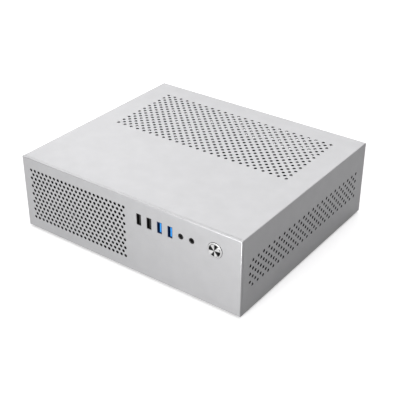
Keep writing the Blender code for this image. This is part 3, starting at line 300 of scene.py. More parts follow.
def board_material():
    """Solder mask: a dark coat over faint copper lines that run along the board and across it."""
    made, tree, shader = new_material("circuit_board")
    place = add(tree, "ShaderNodeTexCoord").outputs["Object"]
    patches = add(tree, "ShaderNodeTexVoronoi", {"Vector": place, "Scale": 70.0}, distance="CHEBYCHEV")
    split = add(tree, "ShaderNodeSeparateColor", {"Color": patches.outputs["Color"]})
    fine = noise(tree, place, 2500.0)
    tint = ramp(tree, split.outputs[0], (0.006, 0.020, 0.013, 1), (0.011, 0.034, 0.022, 1))
    tree.links.new(tint, shader.inputs["Base Color"])
    tree.links.new(span(tree, fine, 0.30, 0.42), shader.inputs["Roughness"])
    relief = add(tree, "ShaderNodeBump", {"Height": fine, "Distance": 0.004 * MM})
    tree.links.new(relief.outputs["Normal"], shader.inputs["Normal"])
    return made


def sleeve_material():
    """A braided sleeve: two sets of strands that cross over and under, along the tube's own map."""
    made, tree, shader = new_material("braided_sleeve")
    spot = add(tree, "ShaderNodeTexCoord").outputs["UV"]
    split = add(tree, "ShaderNodeSeparateXYZ", {"Vector": spot})
    waves = []
    for lean in (1.0, -1.0):
        across = add(tree, "ShaderNodeMath", {0: split.outputs[0], 1: 10.0}, operation="MULTIPLY")
        line = add(
            tree,
            "ShaderNodeMath",
            {0: split.outputs[1], 1: lean * 700.0, 2: across.outputs[0]},
            operation="MULTIPLY_ADD",
        )
        turn = add(tree, "ShaderNodeMath", {0: line.outputs[0], 1: 2 * math.pi}, operation="MULTIPLY")
        waves.append(add(tree, "ShaderNodeMath", {0: turn.outputs[0]}, operation="SINE").outputs[0])
    weave = add(tree, "ShaderNodeMath", {0: waves[0], 1: waves[1]}, operation="MULTIPLY").outputs[0]
    height = add(tree, "ShaderNodeMath", {0: weave, 1: 0.5, 2: 0.5}, operation="MULTIPLY_ADD").outputs[0]
    # The colour is darker where the weave is low: painted shade between the strands.
    tree.links.new(ramp(tree, height, grey(0.008), grey(0.035)), shader.inputs["Base Color"])
    tree.links.new(span(tree, height, 0.62, 0.5), shader.inputs["Roughness"])
    relief = add(tree, "ShaderNodeBump", {"Height": height, "Distance": 0.2 * MM})
    tree.links.new(relief.outputs["Normal"], shader.inputs["Normal"])
    return made


# Each plain finish: two tints, metallic, roughness, grain size, relief.
FINISHES = {
    "aluminium": ((0.60, 0.60, 0.61), (0.64, 0.64, 0.65), 0.85, 0.46, 0.25 * MM, 0.006 * MM),
    # shade is painted shade, not the colour of a real part: near black with little sheen, for hole walls
    # and the sheet behind the grille
    "shade": ((0.004, 0.004, 0.004), (0.008, 0.008, 0.008), 0.0, 0.85, 0.25 * MM, 0.006 * MM),
    "black": ((0.006, 0.006, 0.006), (0.012, 0.012, 0.012), 0.0, 0.48, 0.3 * MM, 0.012 * MM),
    "fan": ((0.005, 0.005, 0.006), (0.010, 0.010, 0.011), 0.0, 0.45, 0.5 * MM, 0.006 * MM),
    "chip": ((0.014, 0.014, 0.015), (0.026, 0.026, 0.027), 0.0, 0.55, 0.12 * MM, 0.010 * MM),
    "blue": ((0.016, 0.20, 0.60), (0.026, 0.26, 0.68), 0.0, 0.35, 0.3 * MM, 0.008 * MM),
    "navy": ((0.004, 0.024, 0.10), (0.006, 0.034, 0.13), 0.0, 0.40, 0.3 * MM, 0.008 * MM),
    "grey": ((0.16, 0.16, 0.165), (0.22, 0.22, 0.225), 0.0, 0.50, 0.3 * MM, 0.010 * MM),
    "ivory": ((0.62, 0.60, 0.54), (0.70, 0.68, 0.62), 0.0, 0.45, 0.3 * MM, 0.008 * MM),
    "ferrite": ((0.035, 0.035, 0.038), (0.075, 0.073, 0.070), 0.1, 0.50, 0.2 * MM, 0.015 * MM),
    "bright": ((0.50, 0.49, 0.47), (0.62, 0.61, 0.59), 1.0, 0.24, 0.4 * MM, 0.003 * MM),
    "fins": ((0.42, 0.425, 0.43), (0.54, 0.545, 0.55), 1.0, 0.33, 0.5 * MM, 0.005 * MM),
    "gold": ((0.72, 0.50, 0.16), (0.82, 0.60, 0.24), 1.0, 0.28, 0.3 * MM, 0.002 * MM),
    "lines": ((0.012, 0.046, 0.028), (0.018, 0.062, 0.038), 0.0, 0.32, 0.4 * MM, 0.004 * MM),
    "rubber": ((0.012, 0.012, 0.012), (0.030, 0.029, 0.028), 0.0, 0.78, 0.35 * MM, 0.04 * MM),
    "yellow": ((0.55, 0.36, 0.02), (0.66, 0.45, 0.04), 0.0, 0.42, 0.4 * MM, 0.006 * MM),
    "red": ((0.40, 0.02, 0.015), (0.50, 0.035, 0.025), 0.0, 0.42, 0.4 * MM, 0.006 * MM),
    "green": ((0.02, 0.26, 0.06), (0.035, 0.34, 0.09), 0.0, 0.42, 0.4 * MM, 0.006 * MM),
    "pink": ((0.50, 0.10, 0.16), (0.60, 0.15, 0.22), 0.0, 0.42, 0.4 * MM, 0.006 * MM),
}
LOOKS = {}


def make_looks():
    for name, (low, high, *rest) in FINISHES.items():
        LOOKS[name] = finish_material(f"{name}_finish", (*low, 1.0), (*high, 1.0), *rest)
    for name, level in (("shade", 0.05), ("fan", 0.25)):
        shader = LOOKS[name].node_tree.nodes["Principled BSDF"]
        shader.inputs["Specular IOR Level"].default_value = level
    LOOKS["steel"] = zinc_material()
    LOOKS["board"] = board_material()
    LOOKS["sleeve"] = sleeve_material()
    middle = button_middle()
    place = (middle.x, 0.0, middle.z)
    # The cap's colour holds painted reflections: four wedges from near black to near white round its
    # middle.
    LOOKS["turned"] = turned_metal("turned_cap_painted_glints", place, grey(0.02), grey(0.95), 4)
    LOOKS["polished"] = turned_metal("polished_ring", place, grey(0.78), grey(0.88))


# ------------------------------------------------------------------ shapes


class Shape:
    """Points and faces of one piece, in the row frame."""

    def __init__(self):
        self.points, self.faces = [], []

    def add(self, points, faces, matrix=None):
        start = len(self.points)
        self.points.extend(matrix @ Vector(p) if matrix else Vector(p) for p in points)
        self.faces.extend([start + index for index in face] for face in faces)
        return self

    def take(self, shape, matrix=None):
        """Adds a bmesh and frees it."""
        shape.verts.index_update()
        points = [v.co.copy() for v in shape.verts]
        faces = [[v.index for v in face.verts] for face in shape.faces]
        shape.free()
        return self.add(points, faces, matrix)

    def box(self, low, high, edge=0.0, segments=2, turn=None):
        """A box between two corners with rounded edges."""
        low, high = Vector(low), Vector(high)
        shape = bmesh.new()
        bmesh.ops.create_cube(shape, size=1.0)
        bmesh.ops.scale(shape, vec=high - low, verts=shape.verts)
        if edge:
            bmesh.ops.bevel(
                shape, geom=shape.edges[:], offset=edge, segments=segments, affect="EDGES", profile=0.5
            )
        place = Matrix.Translation((low + high) / 2)
        return self.take(shape, place @ turn.to_4x4() if turn else place)

    def block(self, foot, size, edge=0.0, segments=2):
        """A box that stands on the point foot."""
        foot, size = Vector(foot), Vector(size)
        low = foot - Vector((size.x / 2, size.y / 2, 0.0))
        return self.box(low, low + size, edge, segments)

    def lathe(self, profile, place, axis="Z", sides=32):
        """A turned shape: (radius, height) points from one end of its axis to the other."""
        points, faces, rings = [], [], []
        for radius, height in profile:
            if radius < 1e-7:
                rings.append([len(points)])
                points.append((0.0, 0.0, height))
                continue
            rings.append(list(range(len(points), len(points) + sides)))
            for step in range(sides):
                angle = 2 * math.pi * step / sides
                points.append((radius * math.cos(angle), radius * math.sin(angle), height))
        for one, two in zip(rings, rings[1:]):
            for step in range(sides):
                after = (step + 1) % sides
                if len(one) == 1 and len(two) == 1:
                    continue
                if len(one) == 1:
                    faces.append((one[0], two[after], two[step]))
                elif len(two) == 1:
                    faces.append((one[step], one[after], two[0]))
                else:
                    faces.append((one[step], one[after], two[after], two[step]))
        return self.add(points, faces, Matrix.Translation(place) @ AXIS_TURNS[axis])

    def rod(self, place, radius, length, axis="Z", sides=24, edge=0.0):
        """A cylinder from place along axis, with its two rims broken by edge."""
        rim = max(edge, 1e-6)
        profile = [(0.0, 0.0), (radius - rim, 0.0), (radius, rim)]
        profile += [(radius, length - rim), (radius - rim, length), (0.0, length)]
        return self.lathe(profile, place, axis, sides)

    def prism(self, outline, low, high, axis="Z", place=(0.0, 0.0, 0.0)):
        """An outline of (x, y) points, drawn out from low to high along axis."""
        count = len(outline)
        points = [(x, y, low) for x, y in outline] + [(x, y, high) for x, y in outline]
        faces = [list(reversed(range(count))), list(range(count, 2 * count))]
        for step in range(count):
            after = (step + 1) % count
            faces.append([step, after, after + count, step + count])
        return self.add(points, faces, Matrix.Translation(place) @ AXIS_TURNS[axis])

    def ribbon(self, path, width, rise):
        """A flat strip that lies on a path in the XY plane and is rise high."""
        left, right = [], []
        for index, spot in enumerate(path):
            ahead = (path[min(index + 1, len(path) - 1)] - spot).normalized()
            behind = (spot - path[max(index - 1, 0)]).normalized()
            along = (ahead + behind).normalized()
            side = Vector((-along.y, along.x, 0.0))
            reach = width / 2 / max(0.5, (side.cross(ahead if ahead.length else behind)).length)
            left.append(spot + side * reach)
            right.append(spot - side * reach)
        up = Vector((0, 0, rise))
        rings = list(zip(left, right, [r + up for r in right], [p + up for p in left]))
        return self.loft(rings)

    def loft(self, rings):
        """Joins rings of points, each as long as the others, and closes both ends."""
        count = len(rings[0])
        points = [point for ring in rings for point in ring]
        faces = [list(reversed(range(count)))]
        for index in range(len(rings) - 1):
            start = index * count
            for step in range(count):
                after = (step + 1) % count
                faces.append([start + step, start + after, start + count + after, start + count + step])
        faces.append([(len(rings) - 1) * count + step for step in range(count)])
        return self.add(points, faces)

    def tube(self, route, radius, sides=12):
        """A round tube along a route, without twist."""
        side = Vector((0, 0, 1)).cross(route[1] - route[0])
        if side.length < 1e-9:
            side = Vector((1, 0, 0))
        rings = []
        for index, spot in enumerate(route):
            ahead = route[min(index + 1, len(route) - 1)] - route[max(index - 1, 0)]
            along = ahead.normalized()
            side = (side - along * side.dot(along)).normalized()
            other = along.cross(side)
            ring = []
            for step in range(sides):
                angle = 2 * math.pi * step / sides
                ring.append(spot + (side * math.cos(angle) + other * math.sin(angle)) * radius)
            rings.append(ring)
        return self.loft(rings)

    def blade(self, angle, inner, outer, low, high, count):
        """One swept fan blade of even thickness, between two radii and two heights."""
        spans, chords, thick = 9, 9, 0.9 * MM
        width = 2 * math.pi / count * 0.84

        def spot(u, v):
            reach = inner + (outer - inner) * u
            lean = 0.42 * max(u, 0.0) ** 1.6
            turn = angle + lean + (v - 0.5) * width * (1.0 - 0.12 * u)
            bow = 0.22 * math.sin(math.pi * v)
            height = low + (high - low) * (0.5 + (v - 0.5) * (1.0 - 0.35 * u) - bow * 0.4)
            return Vector((reach * math.cos(turn), reach * math.sin(turn), height))

        upper, lower = [], []
        for i in range(spans):
            for j in range(chords):
                u, v = i / (spans - 1), j / (chords - 1)
                along = spot(min(u + 0.02, 1.02), v) - spot(u - 0.02, v)
                across = spot(u, v + 0.02) - spot(u, v - 0.02)
                normal = along.cross(across).normalized()
                half = thick / 2 * (0.45 + 0.55 * math.sin(math.pi * min(max(v, 0.06), 0.94)))
                upper.append(spot(u, v) + normal * half)
                lower.append(spot(u, v) - normal * half)
        faces, total = [], spans * chords
        for i in range(spans - 1):
            for j in range(chords - 1):
                a = i * chords + j
                faces.append([a, a + chords, a + chords + 1, a + 1])
                faces.append([total + a, total + a + 1, total + a + chords + 1, total + a + chords])
        rim = [j for j in range(chords)] + [i * chords + chords - 1 for i in range(1, spans)]
        rim += [(spans - 1) * chords + j for j in range(chords - 2, -1, -1)]
        rim += [i * chords for i in range(spans - 2, 0, -1)]
        for one, two in zip(rim, rim[1:] + rim[:1]):
            faces.append([one, two, total + two, total + one])
        return self.add(upper + lower, faces)

    def mesh(self, name):
        made = bpy.data.meshes.new(name)
        made.from_pydata([tuple(p) for p in self.points], [], self.faces)
        shape = bmesh.new()
        shape.from_mesh(made)
        bmesh.ops.recalc_face_normals(shape, faces=shape.faces)
        shape.to_mesh(made)
        shape.free()
        return made

    def object(self, name):
        made = bpy.data.objects.new(name, self.mesh(name))
        bpy.context.scene.collection.objects.link(made)
        return made


# From +Z, the axis of every turned shape, to the named direction.
AXIS_TURNS = {
    "Z": Matrix.Identity(4),
    "-Z": Matrix.Rotation(math.pi, 4, "X"),
    "Y": Matrix.Rotation(-math.pi / 2, 4, "X"),
    "-Y": Matrix.Rotation(math.pi / 2, 4, "X"),
    "X": Matrix.Rotation(math.pi / 2, 4, "Y"),
    "-X": Matrix.Rotation(-math.pi / 2, 4, "Y"),
}


def combine(target, operation, shapes):
    """Cuts closed shapes out of a closed piece, or joins them to it."""
    for shape in shapes:
        cutter = shape.object("cutter")
        cut = target.modifiers.new("cut", "BOOLEAN")
        cut.object = cutter
        cut.operation = operation
        cut.solver = "MANIFOLD"
        bpy.context.view_layer.update()
        evaluated = target.evaluated_get(bpy.context.evaluated_depsgraph_get())
        result = bpy.data.meshes.new_from_object(evaluated)
        target.modifiers.remove(cut)
        old = target.data
        target.data = result
        bpy.data.meshes.remove(old)
        bpy.data.objects.remove(cutter, do_unlink=True)
    target.data.name = target.name
    return target


def carve(target, *cutters):
    return combine(target, "DIFFERENCE", cutters)


def weld(target, *shapes):
    return combine(target, "UNION", shapes)


def piece(made, look, body, replaces=(), angle=32.0, weighted=True):
    """Shades a piece, gives it its material, and sets it on its CAD body."""
    if isinstance(made, tuple):
        name, shape = made
        made = shape.object(name)
    mesh = made.data
    mesh.materials.clear()
    mesh.materials.append(LOOKS[look])
    mesh.shade_smooth()
    mesh.set_sharp_from_angle(angle=math.radians(angle))
    if weighted:
        fix = made.modifiers.new("flat_faces", "WEIGHTED_NORMAL")
        fix.keep_sharp = True
    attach(made, body)
    if replaces:
        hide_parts(*replaces)
    return made


def paint_shade_in_holes(made, axis, low, high):
    """Paints shade on the walls of the holes between two corners: they take the near-black shade material,
    painted shade for their insides.
    """
    mesh = made.data
    if LOOKS["shade"].name not in mesh.materials:
        mesh.materials.append(LOOKS["shade"])
    for face in mesh.polygons:
        inside = all(low[i] <= face.center[i] <= high[i] for i in range(3))
        if inside and abs(face.normal[axis]) < 0.2:
            face.material_index = 1


# ------------------------------------------------------------------ perforated front and cover


def hole_cutter(places, axis, depth, radius=HOLE_RADIUS, chamfer=HOLE_CHAMFER, sides=HOLE_SIDES):
    """Round cutters with a small chamfer at the outer face. axis points out of the sheet."""
    out = 0.4 * MM
    profile = [
        (0.0, -depth), (radius, -depth), (radius, -chamfer), (radius + chamfer + out, out), (0.0, out)
    ]
    cutter = Shape()
    for place in places:
        cutter.lathe(profile, place, axis, sides)
    return cutter


def front_field():
    """Middles of the front's holes, on its face."""
    holes = []
    for row in range(FRONT_ROWS):
        count = FRONT_LONG_ROW - row % 2
        z = BASE_Z + FRONT_FIELD_MIDDLE[1] + (row - (FRONT_ROWS - 1) / 2) * FRONT_ROW_PITCH
        for step in range(count):
            x = FRONT_FIELD_MIDDLE[0] + (step - (count - 1) / 2) * FRONT_PITCH
            holes.append((x, FRONT_Y, z))
    return holes


def top_field():
    holes = []
    for row in range(TOP_ROWS):
        count = TOP_LONG_ROW - row % 2
        y = MIDDLE.y + TOP_FIELD_REAR - row * VENT_ROW_PITCH
        for step in range(count):
            holes.append(((step - (count - 1) / 2) * VENT_PITCH, y, TOP_Z))
    return holes


def side_field(side):
    holes = []
    for row in range(SIDE_ROWS):
        z = BASE_Z + SIDE_FIELD_TOP - row * VENT_ROW_PITCH
        first = MIDDLE.y + SIDE_FIELD_FRONT - (row % 2) * VENT_PITCH / 2
        for step in range(SIDE_ROW_HOLES):
            holes.append((side * SIDE_X, first + step * VENT_PITCH, z))
    return holes


def rounded_box(low, high, radius, chosen, segments=4):
    """A bmesh box with the chosen edges rounded. chosen takes an edge's middle."""
    low, high = Vector(low), Vector(high)
    shape = bmesh.new()
    bmesh.ops.create_cube(shape, size=1.0)
    bmesh.ops.scale(shape, vec=high - low, verts=shape.verts)
    bmesh.ops.translate(shape, vec=(low + high) / 2, verts=shape.verts)
    edges = [e for e in shape.edges if chosen((e.verts[0].co + e.verts[1].co) / 2)]
    bmesh.ops.bevel(shape, geom=edges, offset=radius, segments=segments, affect="EDGES", profile=0.5)
    return shape


def make_front_panel():
    low, high = panel_low.copy(), panel_high.copy()
    thickness = 3.0 * MM
    back = FRONT_Y + thickness
    high.y = back
    shape = Shape().take(
        rounded_box(low, high, PANEL_EDGE, lambda middle: middle.y < FRONT_Y + GAP)
    )
    panel = shape.object("perforated_front")
    openings = Shape()
    far = 5 * MM
    for name in USB_PORTS:
        port_low, port_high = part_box(name)
        openings.box(
            (port_low.x - GAP, FRONT_Y - far, port_low.z - GAP),
            (port_high.x + GAP, back + far, port_high.z + GAP),
        )
    for name in JACKS:
        jack_low, jack_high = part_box(name)
        middle = (jack_low + jack_high) / 2
        radius = (jack_high.x - jack_low.x) / 2 + GAP
        openings.rod((middle.x, FRONT_Y - far, middle.z), radius, 2 * far + thickness, "Y", 40)
    barrel = barrel_radius() + GAP
    middle = button_middle()
    openings.rod((middle.x, FRONT_Y - far, middle.z), barrel, 2 * far + thickness, "Y", 48)
    field = front_field()
    reach = Vector((4 * MM, 0.0, 4 * MM))
    first = Vector((min(p[0] for p in field), FRONT_Y + FRONT_SKIN, min(p[2] for p in field))) - reach
    last = Vector((max(p[0] for p in field), back + far, max(p[2] for p in field))) + reach
    pocket = Shape().box(first, last)
    carve(panel, openings, pocket, hole_cutter(field, "-Y", thickness + 1 * MM))
    piece(panel, "aluminium", "case", ["front_panel"])
    # The walls of the grille's holes get painted shade.
    paint_shade_in_holes(panel, 1, first - Vector((0, far, 0)) + reach / 4, last - reach / 4)

    # A near-black sheet behind the grille, painted shade: it darkens the holes outside the two fan rings.
    shade_sheet = Shape().box(
        first + Vector((GAP, 0.1 * MM, GAP)),
        Vector((last.x - GAP, back - 0.05 * MM, last.z - GAP)),
        0.1 * MM,
        1
    ).object("grille_shade_sheet")
    ways = Shape()
    for name in ("front_fan_left_frame", "front_fan_right_frame"):
        middle = (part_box(name)[0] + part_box(name)[1]) / 2
        ways.rod((middle.x, FRONT_Y - far, middle.z), 28.6 * MM, 3 * far, "Y", 72)
    carve(shade_sheet, ways)
    piece(shade_sheet, "shade", "case")

    posts = Shape()
    board_low, board_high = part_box("front_io_board")
    for x in (board_low.x + 2.8 * MM, board_high.x - 2.8 * MM):
        start = (x, back, (board_low.z + board_high.z) / 2)
        posts.rod(start, 2.5 * MM, board_low.y - GAP - back, "Y", 24, 0.2 * MM)
    piece(("front_posts", posts), "steel", "case")


def button_middle():
    low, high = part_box("power_button_body")
    return (low + high) / 2


def barrel_radius():
    """The barrel's radius, from the nut's inside gap: the ring is wider than the barrel."""
    low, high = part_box("power_button_body")
    return (high.x - low.x) / 2 - 0.9 * MM


def make_cover():
    wall = 1.2 * MM
    front = case_low.y
    outer = rounded_box(
        case_low,
        case_high,
        COVER_EDGE,
        lambda middle: middle.z > TOP_Z - GAP and abs(middle.x) > SIDE_X - GAP,
    )
    cover = Shape().take(outer).object("perforated_cover")
    far = 10 * MM
    inside = Shape().box(
        (-SIDE_X + wall, front - far, BASE_Z - far), (SIDE_X - wall, REAR_Y - wall, TOP_Z - wall)
    )
    rear_way = Shape().box(
        (-SIDE_X + COVER_LIP, REAR_Y - 2 * wall, BASE_Z - 2 * far),
        (SIDE_X - COVER_LIP, REAR_Y + far, TOP_Z - COVER_LIP),
    )
    screws = Shape()
    for name in COVER_SCREWS:
        low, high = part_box(name)
        middle = (low + high) / 2
        screws.rod((middle.x, REAR_Y - 2 * wall, middle.z), 1.8 * MM, 4 * wall, "Y", 24)
    carve(
        cover,
        inside,
        rear_way,
        screws,
        hole_cutter(top_field(), "Z", wall + 1 * MM),
        hole_cutter(side_field(1), "X", wall + 1 * MM),
        hole_cutter(side_field(-1), "-X", wall + 1 * MM),
    )
    piece(cover, "aluminium", "cover", ["top_cover"])
    edge = 5 * MM
    # The walls of the top and side holes get painted shade.
    paint_shade_in_holes(
        cover, 2, (-SIDE_X + edge, front + edge, TOP_Z - wall), (SIDE_X - edge, REAR_Y - edge, TOP_Z)
    )
    for first, last in ((SIDE_X - wall, SIDE_X), (-SIDE_X, -SIDE_X + wall)):
        paint_shade_in_holes(cover, 0, (first, front + edge, BASE_Z + edge), (last, REAR_Y - edge, TOP_Z - edge))


USB_PORTS = ["usb_port_1", "usb_port_2", "usb_fast_port_1", "usb_fast_port_2"]
JACKS = ["audio_jack_1", "audio_jack_2"]
COVER_SCREWS = ["cover_screw_left", "cover_screw_right"]
FEET = ["foot_front_left", "foot_front_right", "foot_rear_left", "foot_rear_right"]


# ------------------------------------------------------------------ front sockets and button


def edged(shape, *corners, edge=0.15 * MM):
    """Adds boxes with broken edges, each given by its two corners."""
    for low, high in corners:
        shape.box(low, high, edge)
    return shape


def make_usb_port(name):
    """An upright socket: a rolled shell, and a tongue with its contact strips towards the right."""
    low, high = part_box(name)
    fast = "fast" in name
    look = "blue" if fast else "black"
    wall, depth = 0.4 * MM, 9.0 * MM
    shell = Shape().box(low, high, 0.25 * MM).object(f"{name}_shell")
    cavity = Shape().box(
        (low.x + wall, low.y - 1 * MM, low.z + wall), (high.x - wall, low.y + depth, high.z - wall)
    )
    carve(shell, cavity)
    piece(shell, "navy" if fast else "black", "case", [name])

    middle = (low + high) / 2
    tongue_low = Vector((middle.x - 0.15 * MM, low.y + 0.7 * MM, low.z + 1.1 * MM))
    tongue_high = Vector((middle.x + 1.75 * MM, low.y + depth - 0.1 * MM, high.z - 1.1 * MM))
    piece((f"{name}_tongue", edged(Shape(), (tongue_low, tongue_high))), look, "case")
    strips = Shape()
    for step in range(4):
        z = middle.z + (step - 1.5) * 2.3 * MM
        strips.box(
            (tongue_low.x - 0.12 * MM, tongue_low.y + 0.8 * MM, z - 0.5 * MM),
            (tongue_low.x + 0.05 * MM, tongue_high.y - 0.5 * MM, z + 0.5 * MM),
            0.05 * MM,
        )
    piece((f"{name}_contacts", strips), "gold", "case")


def make_jack(name):
    """A round socket: a chamfered mouth, a stepped bore and the spring contact inside it."""
    low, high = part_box(name)
    middle = (low + high) / 2
    radius, length = (high.x - low.x) / 2, high.y - low.y
    profile = [
        (0.0, 12 * MM),
        (1.75 * MM, 12 * MM),
        (1.75 * MM, 0.9 * MM),
        (2.15 * MM, 0.25 * MM),
        (radius - 0.45 * MM, 0.0),
        (radius - 0.1 * MM, 0.0),
        (radius, 0.1 * MM),
        (radius, length),
        (0.0, length),
    ]
    place = (middle.x, low.y, middle.z)
    body = Shape().lathe(profile, place, "Y", 48)
    piece((f"{name}_body", body), "black", "case", [name])
    ring = [(1.72 * MM, 2.6 * MM), (1.5 * MM, 2.6 * MM), (1.5 * MM, 4.2 * MM), (1.72 * MM, 4.2 * MM)]
    sleeve = Shape().lathe(ring + ring[:1], place, "Y", 32)
    piece((f"{name}_contact", sleeve), "bright", "case")


def threaded(radius, start, end, pitch=0.8 * MM, depth=0.18 * MM):
    """Profile points of a fine thread, from one height to another."""
    turns = int(abs(end - start) / pitch)
    step = (end - start) / turns
    points = []
    for turn in range(turns):
        points.append((radius, start + turn * step))
        points.append((radius - depth, start + (turn + 0.5) * step))
    return points + [(radius, end)]


def make_power_button():
    low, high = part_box("power_button_body")
    middle = button_middle()
    proud = FRONT_Y - low.y
    ring = (high.x - low.x) / 2
    barrel = barrel_radius()
    cap_low, cap_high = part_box("power_button_cap")
    cap = (cap_high.x - cap_low.x) / 2
    place = (middle.x, FRONT_Y, middle.z)
    bottom = -(high.y - FRONT_Y)
    floor = -(cap_high.y - FRONT_Y) - 1.8 * MM
    body = [
        (0.0, floor),
        (cap + GAP, floor),
        (cap + GAP, proud - 0.25 * MM),
        (cap + GAP + 0.15 * MM, proud),
        (ring - 0.35 * MM, proud),
        (ring - 0.12 * MM, proud - 0.1 * MM),
        (ring, proud - 0.35 * MM),
        (ring, GAP),
        (barrel, GAP),
        *threaded(barrel, -3.2 * MM, bottom + 3 * MM),
        (barrel - 0.4 * MM, bottom + 2.6 * MM),
        (barrel - 0.4 * MM, bottom),
        (0.0, bottom),
    ]
    shell = Shape().lathe(body, place, "-Y", 64)
    piece(("power_button_ring", shell), "polished", "case", ["power_button_body"])
    # A black rubber washer under the ring, and also painted shade: it shows past the ring as a dark outline
    # where the ring's shadow falls.
    washer_shade = Shape().lathe(
        [
            (barrel + 0.1 * MM, 0.03 * MM),
            (ring + 0.3 * MM, 0.03 * MM),
            (ring + 0.35 * MM, 0.12 * MM),
            (ring + 0.25 * MM, GAP - 0.02 * MM),
            (barrel + 0.1 * MM, GAP - 0.02 * MM),
            (barrel + 0.1 * MM, 0.03 * MM),
        ],
        place,
        "-Y",
        64,
    )
    piece(("power_button_washer_shade", washer_shade), "rubber", "case")

    top = FRONT_Y - cap_low.y
    deep = -(cap_high.y - FRONT_Y)
    face = [
        (0.0, top - 0.12 * MM),
        (cap * 0.55, top - 0.1 * MM),
        (cap * 0.9, top - 0.03 * MM),
        (cap - 0.42 * MM, top),
        (cap - 0.15 * MM, top - 0.08 * MM),
        (cap, top - 0.4 * MM),
        (cap, deep + 4.0 * MM),
        (3.0 * MM, deep + 4.0 * MM),
        (3.0 * MM, deep),
        (0.0, deep),
    ]
    cap_shape = Shape().lathe(face, place, "-Y", 96)
    piece(
        ("turned_button_cap", cap_shape), "turned", "power_button", ["power_button_cap"]
    )

    nut_low, nut_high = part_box("power_button_nut")
    across = (nut_high.z - nut_low.z) / 2
    nut = Shape().lathe(
        [
            (0.0, 0.0),
            (across * 0.9, 0.0),
            (across, 0.4 * MM),
            (across, nut_high.y - nut_low.y - 0.4 * MM),
            (across * 0.9, nut_high.y - nut_low.y),
            (0.0, nut_high.y - nut_low.y),
        ],
        (middle.x, nut_low.y, middle.z),
        "Y",
        6,
    ).object("button_nut")
    bore = Shape().rod((middle.x, nut_low.y - MM, middle.z), barrel + GAP, 10 * MM, "Y", 40)
    carve(nut, bore)
    # The nut's corners point up and down.
    nut_middle = (nut_low + nut_high) / 2
    turn = Matrix.Rotation(math.pi / 6, 4, "Y")
    nut.data.transform(Matrix.Translation(nut_middle) @ turn @ Matrix.Translation(-nut_middle))
    piece(nut, "bright", "case", ["power_button_nut"])
    tabs = Shape()
    for side in (-1, 1):
        x = middle.x + side * 2.6 * MM
        end = high.y
        tabs.box(
            (x - 0.3 * MM, end - 0.3 * MM, middle.z - 1.2 * MM),
            (x + 0.3 * MM, end + 5 * MM, middle.z + 1.2 * MM),
            0.1 * MM
        )
    piece(("button_tabs", tabs), "gold", "case")


def make_front_board():
    low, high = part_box("front_io_board")
    parts = Shape()
    parts.box(
        (low.x + 12 * MM, high.y, low.z + 3 * MM),
        (low.x + 30 * MM, high.y + 6 * MM, low.z + 9 * MM),
        0.3 * MM
    )
    for step in range(6):
        x = low.x + 36 * MM + step * 7 * MM
        parts.box((x, high.y, low.z + 4 * MM), (x + 3 * MM, high.y + 1.4 * MM, low.z + 8 * MM), 0.15 * MM)
    piece(("front_board_parts", parts), "black", "case")


# ------------------------------------------------------------------ feet and cover screws


def make_foot(name):
    low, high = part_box(name)
    middle = (low + high) / 2
    radius, height = (high.x - low.x) / 2, high.z - low.z
    profile = [
        (0.0, 0.9 * MM),
        (2.4 * MM, 0.9 * MM),
        (2.8 * MM, 0.25 * MM),
        (radius - 2.4 * MM, 0.0),
        (radius - 1.3 * MM, 0.0),
        (radius - 0.6 * MM, 0.35 * MM),
        (radius - 0.1 * MM, 1.0 * MM),
        (radius, height),
        (0.0, height),
    ]
    foot = Shape().lathe(profile, (middle.x, middle.y, low.z), "Z", 48)
    piece((f"{name}_pad", foot), "rubber", "case", [name])
    screw = Shape().lathe(
        [
            (0.0, 0.45 * MM),
            (1.6 * MM, 0.5 * MM),
            (2.0 * MM, 0.7 * MM),
            (2.0 * MM, 1.1 * MM),
            (0.0, 1.1 * MM)
        ],
        (middle.x, middle.y, low.z),
        "Z",
        24,
    ).object(f"{name}_screw")
    cross(screw, (middle.x, middle.y, low.z + 0.3 * MM), "Z", 1.1 * MM, 0.5 * MM)
    piece(screw, "bright", "case")


def cross(screw, place, axis, reach, depth):
    """Sinks a cross recess into a screw's head. axis points into it."""
    first, second = Shape(), Shape()
    half = 0.28 * reach
    turn = Matrix.Translation(place) @ AXIS_TURNS[axis]
    first.box((-reach, -half, -1 * MM), (reach, half, depth))
    second.box((-half, -reach, -1 * MM), (half, reach, depth))
    for arm in (first, second):
        arm.points = [turn @ point for point in arm.points]
    carve(screw, first, second)


def make_thumbscrew(name):
    """A knurled head, a collar and a threaded shank, with a cross recess in its end."""
    low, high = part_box(name)
    middle = (low + high) / 2
    radius = (high.x - low.x) / 2
    head_start, head_end = REAR_Y + GAP, high.y
    teeth = 30
    points, faces, rings = [], [], []
    levels = [(0.86, 0.0), (0.97, 0.35 * MM), (1.0, 0.8 * MM), (1.0, head_end - head_start - 0.8 * MM)]
    levels += [(0.97, head_end - head_start - 0.3 * MM), (0.84, head_end - head_start)]
    for share, along in levels:
        rings.append(list(range(len(points), len(points) + 2 * teeth)))
        for step in range(2 * teeth):
            angle = math.pi * step / teeth
            reach = radius * share * (1.0 if step % 2 else (0.93 if share > 0.9 else 1.0))
            points.append((reach * math.cos(angle), reach * math.sin(angle), along))
    for one, two in zip(rings, rings[1:]):
        for step in range(2 * teeth):
            after = (step + 1) % (2 * teeth)
            faces.append((one[step], one[after], two[after], two[step]))
    faces += [list(reversed(rings[0])), rings[-1]]
    head = Shape().add(
        points, faces, Matrix.Translation((middle.x, head_start, middle.z)) @ AXIS_TURNS["Y"]
    ).object(f"{name}_head")
    cross(head, (middle.x, head_end, middle.z), "-Y", 2.2 * MM, 1.6 * MM)
    piece(head, "bright", "cover", [name], 20.0)
    shank = [(0.0, 0.0), *threaded(1.45 * MM, 0.3 * MM, head_start - low.y - 0.2 * MM, 0.6 * MM, 0.14 * MM)]
    shank.append((0.0, head_start - low.y))
    body = Shape().lathe(shank, (middle.x, low.y, middle.z), "Y", 24)
    piece((f"{name}_shank", body), "bright", "cover")


# ------------------------------------------------------------------ fans


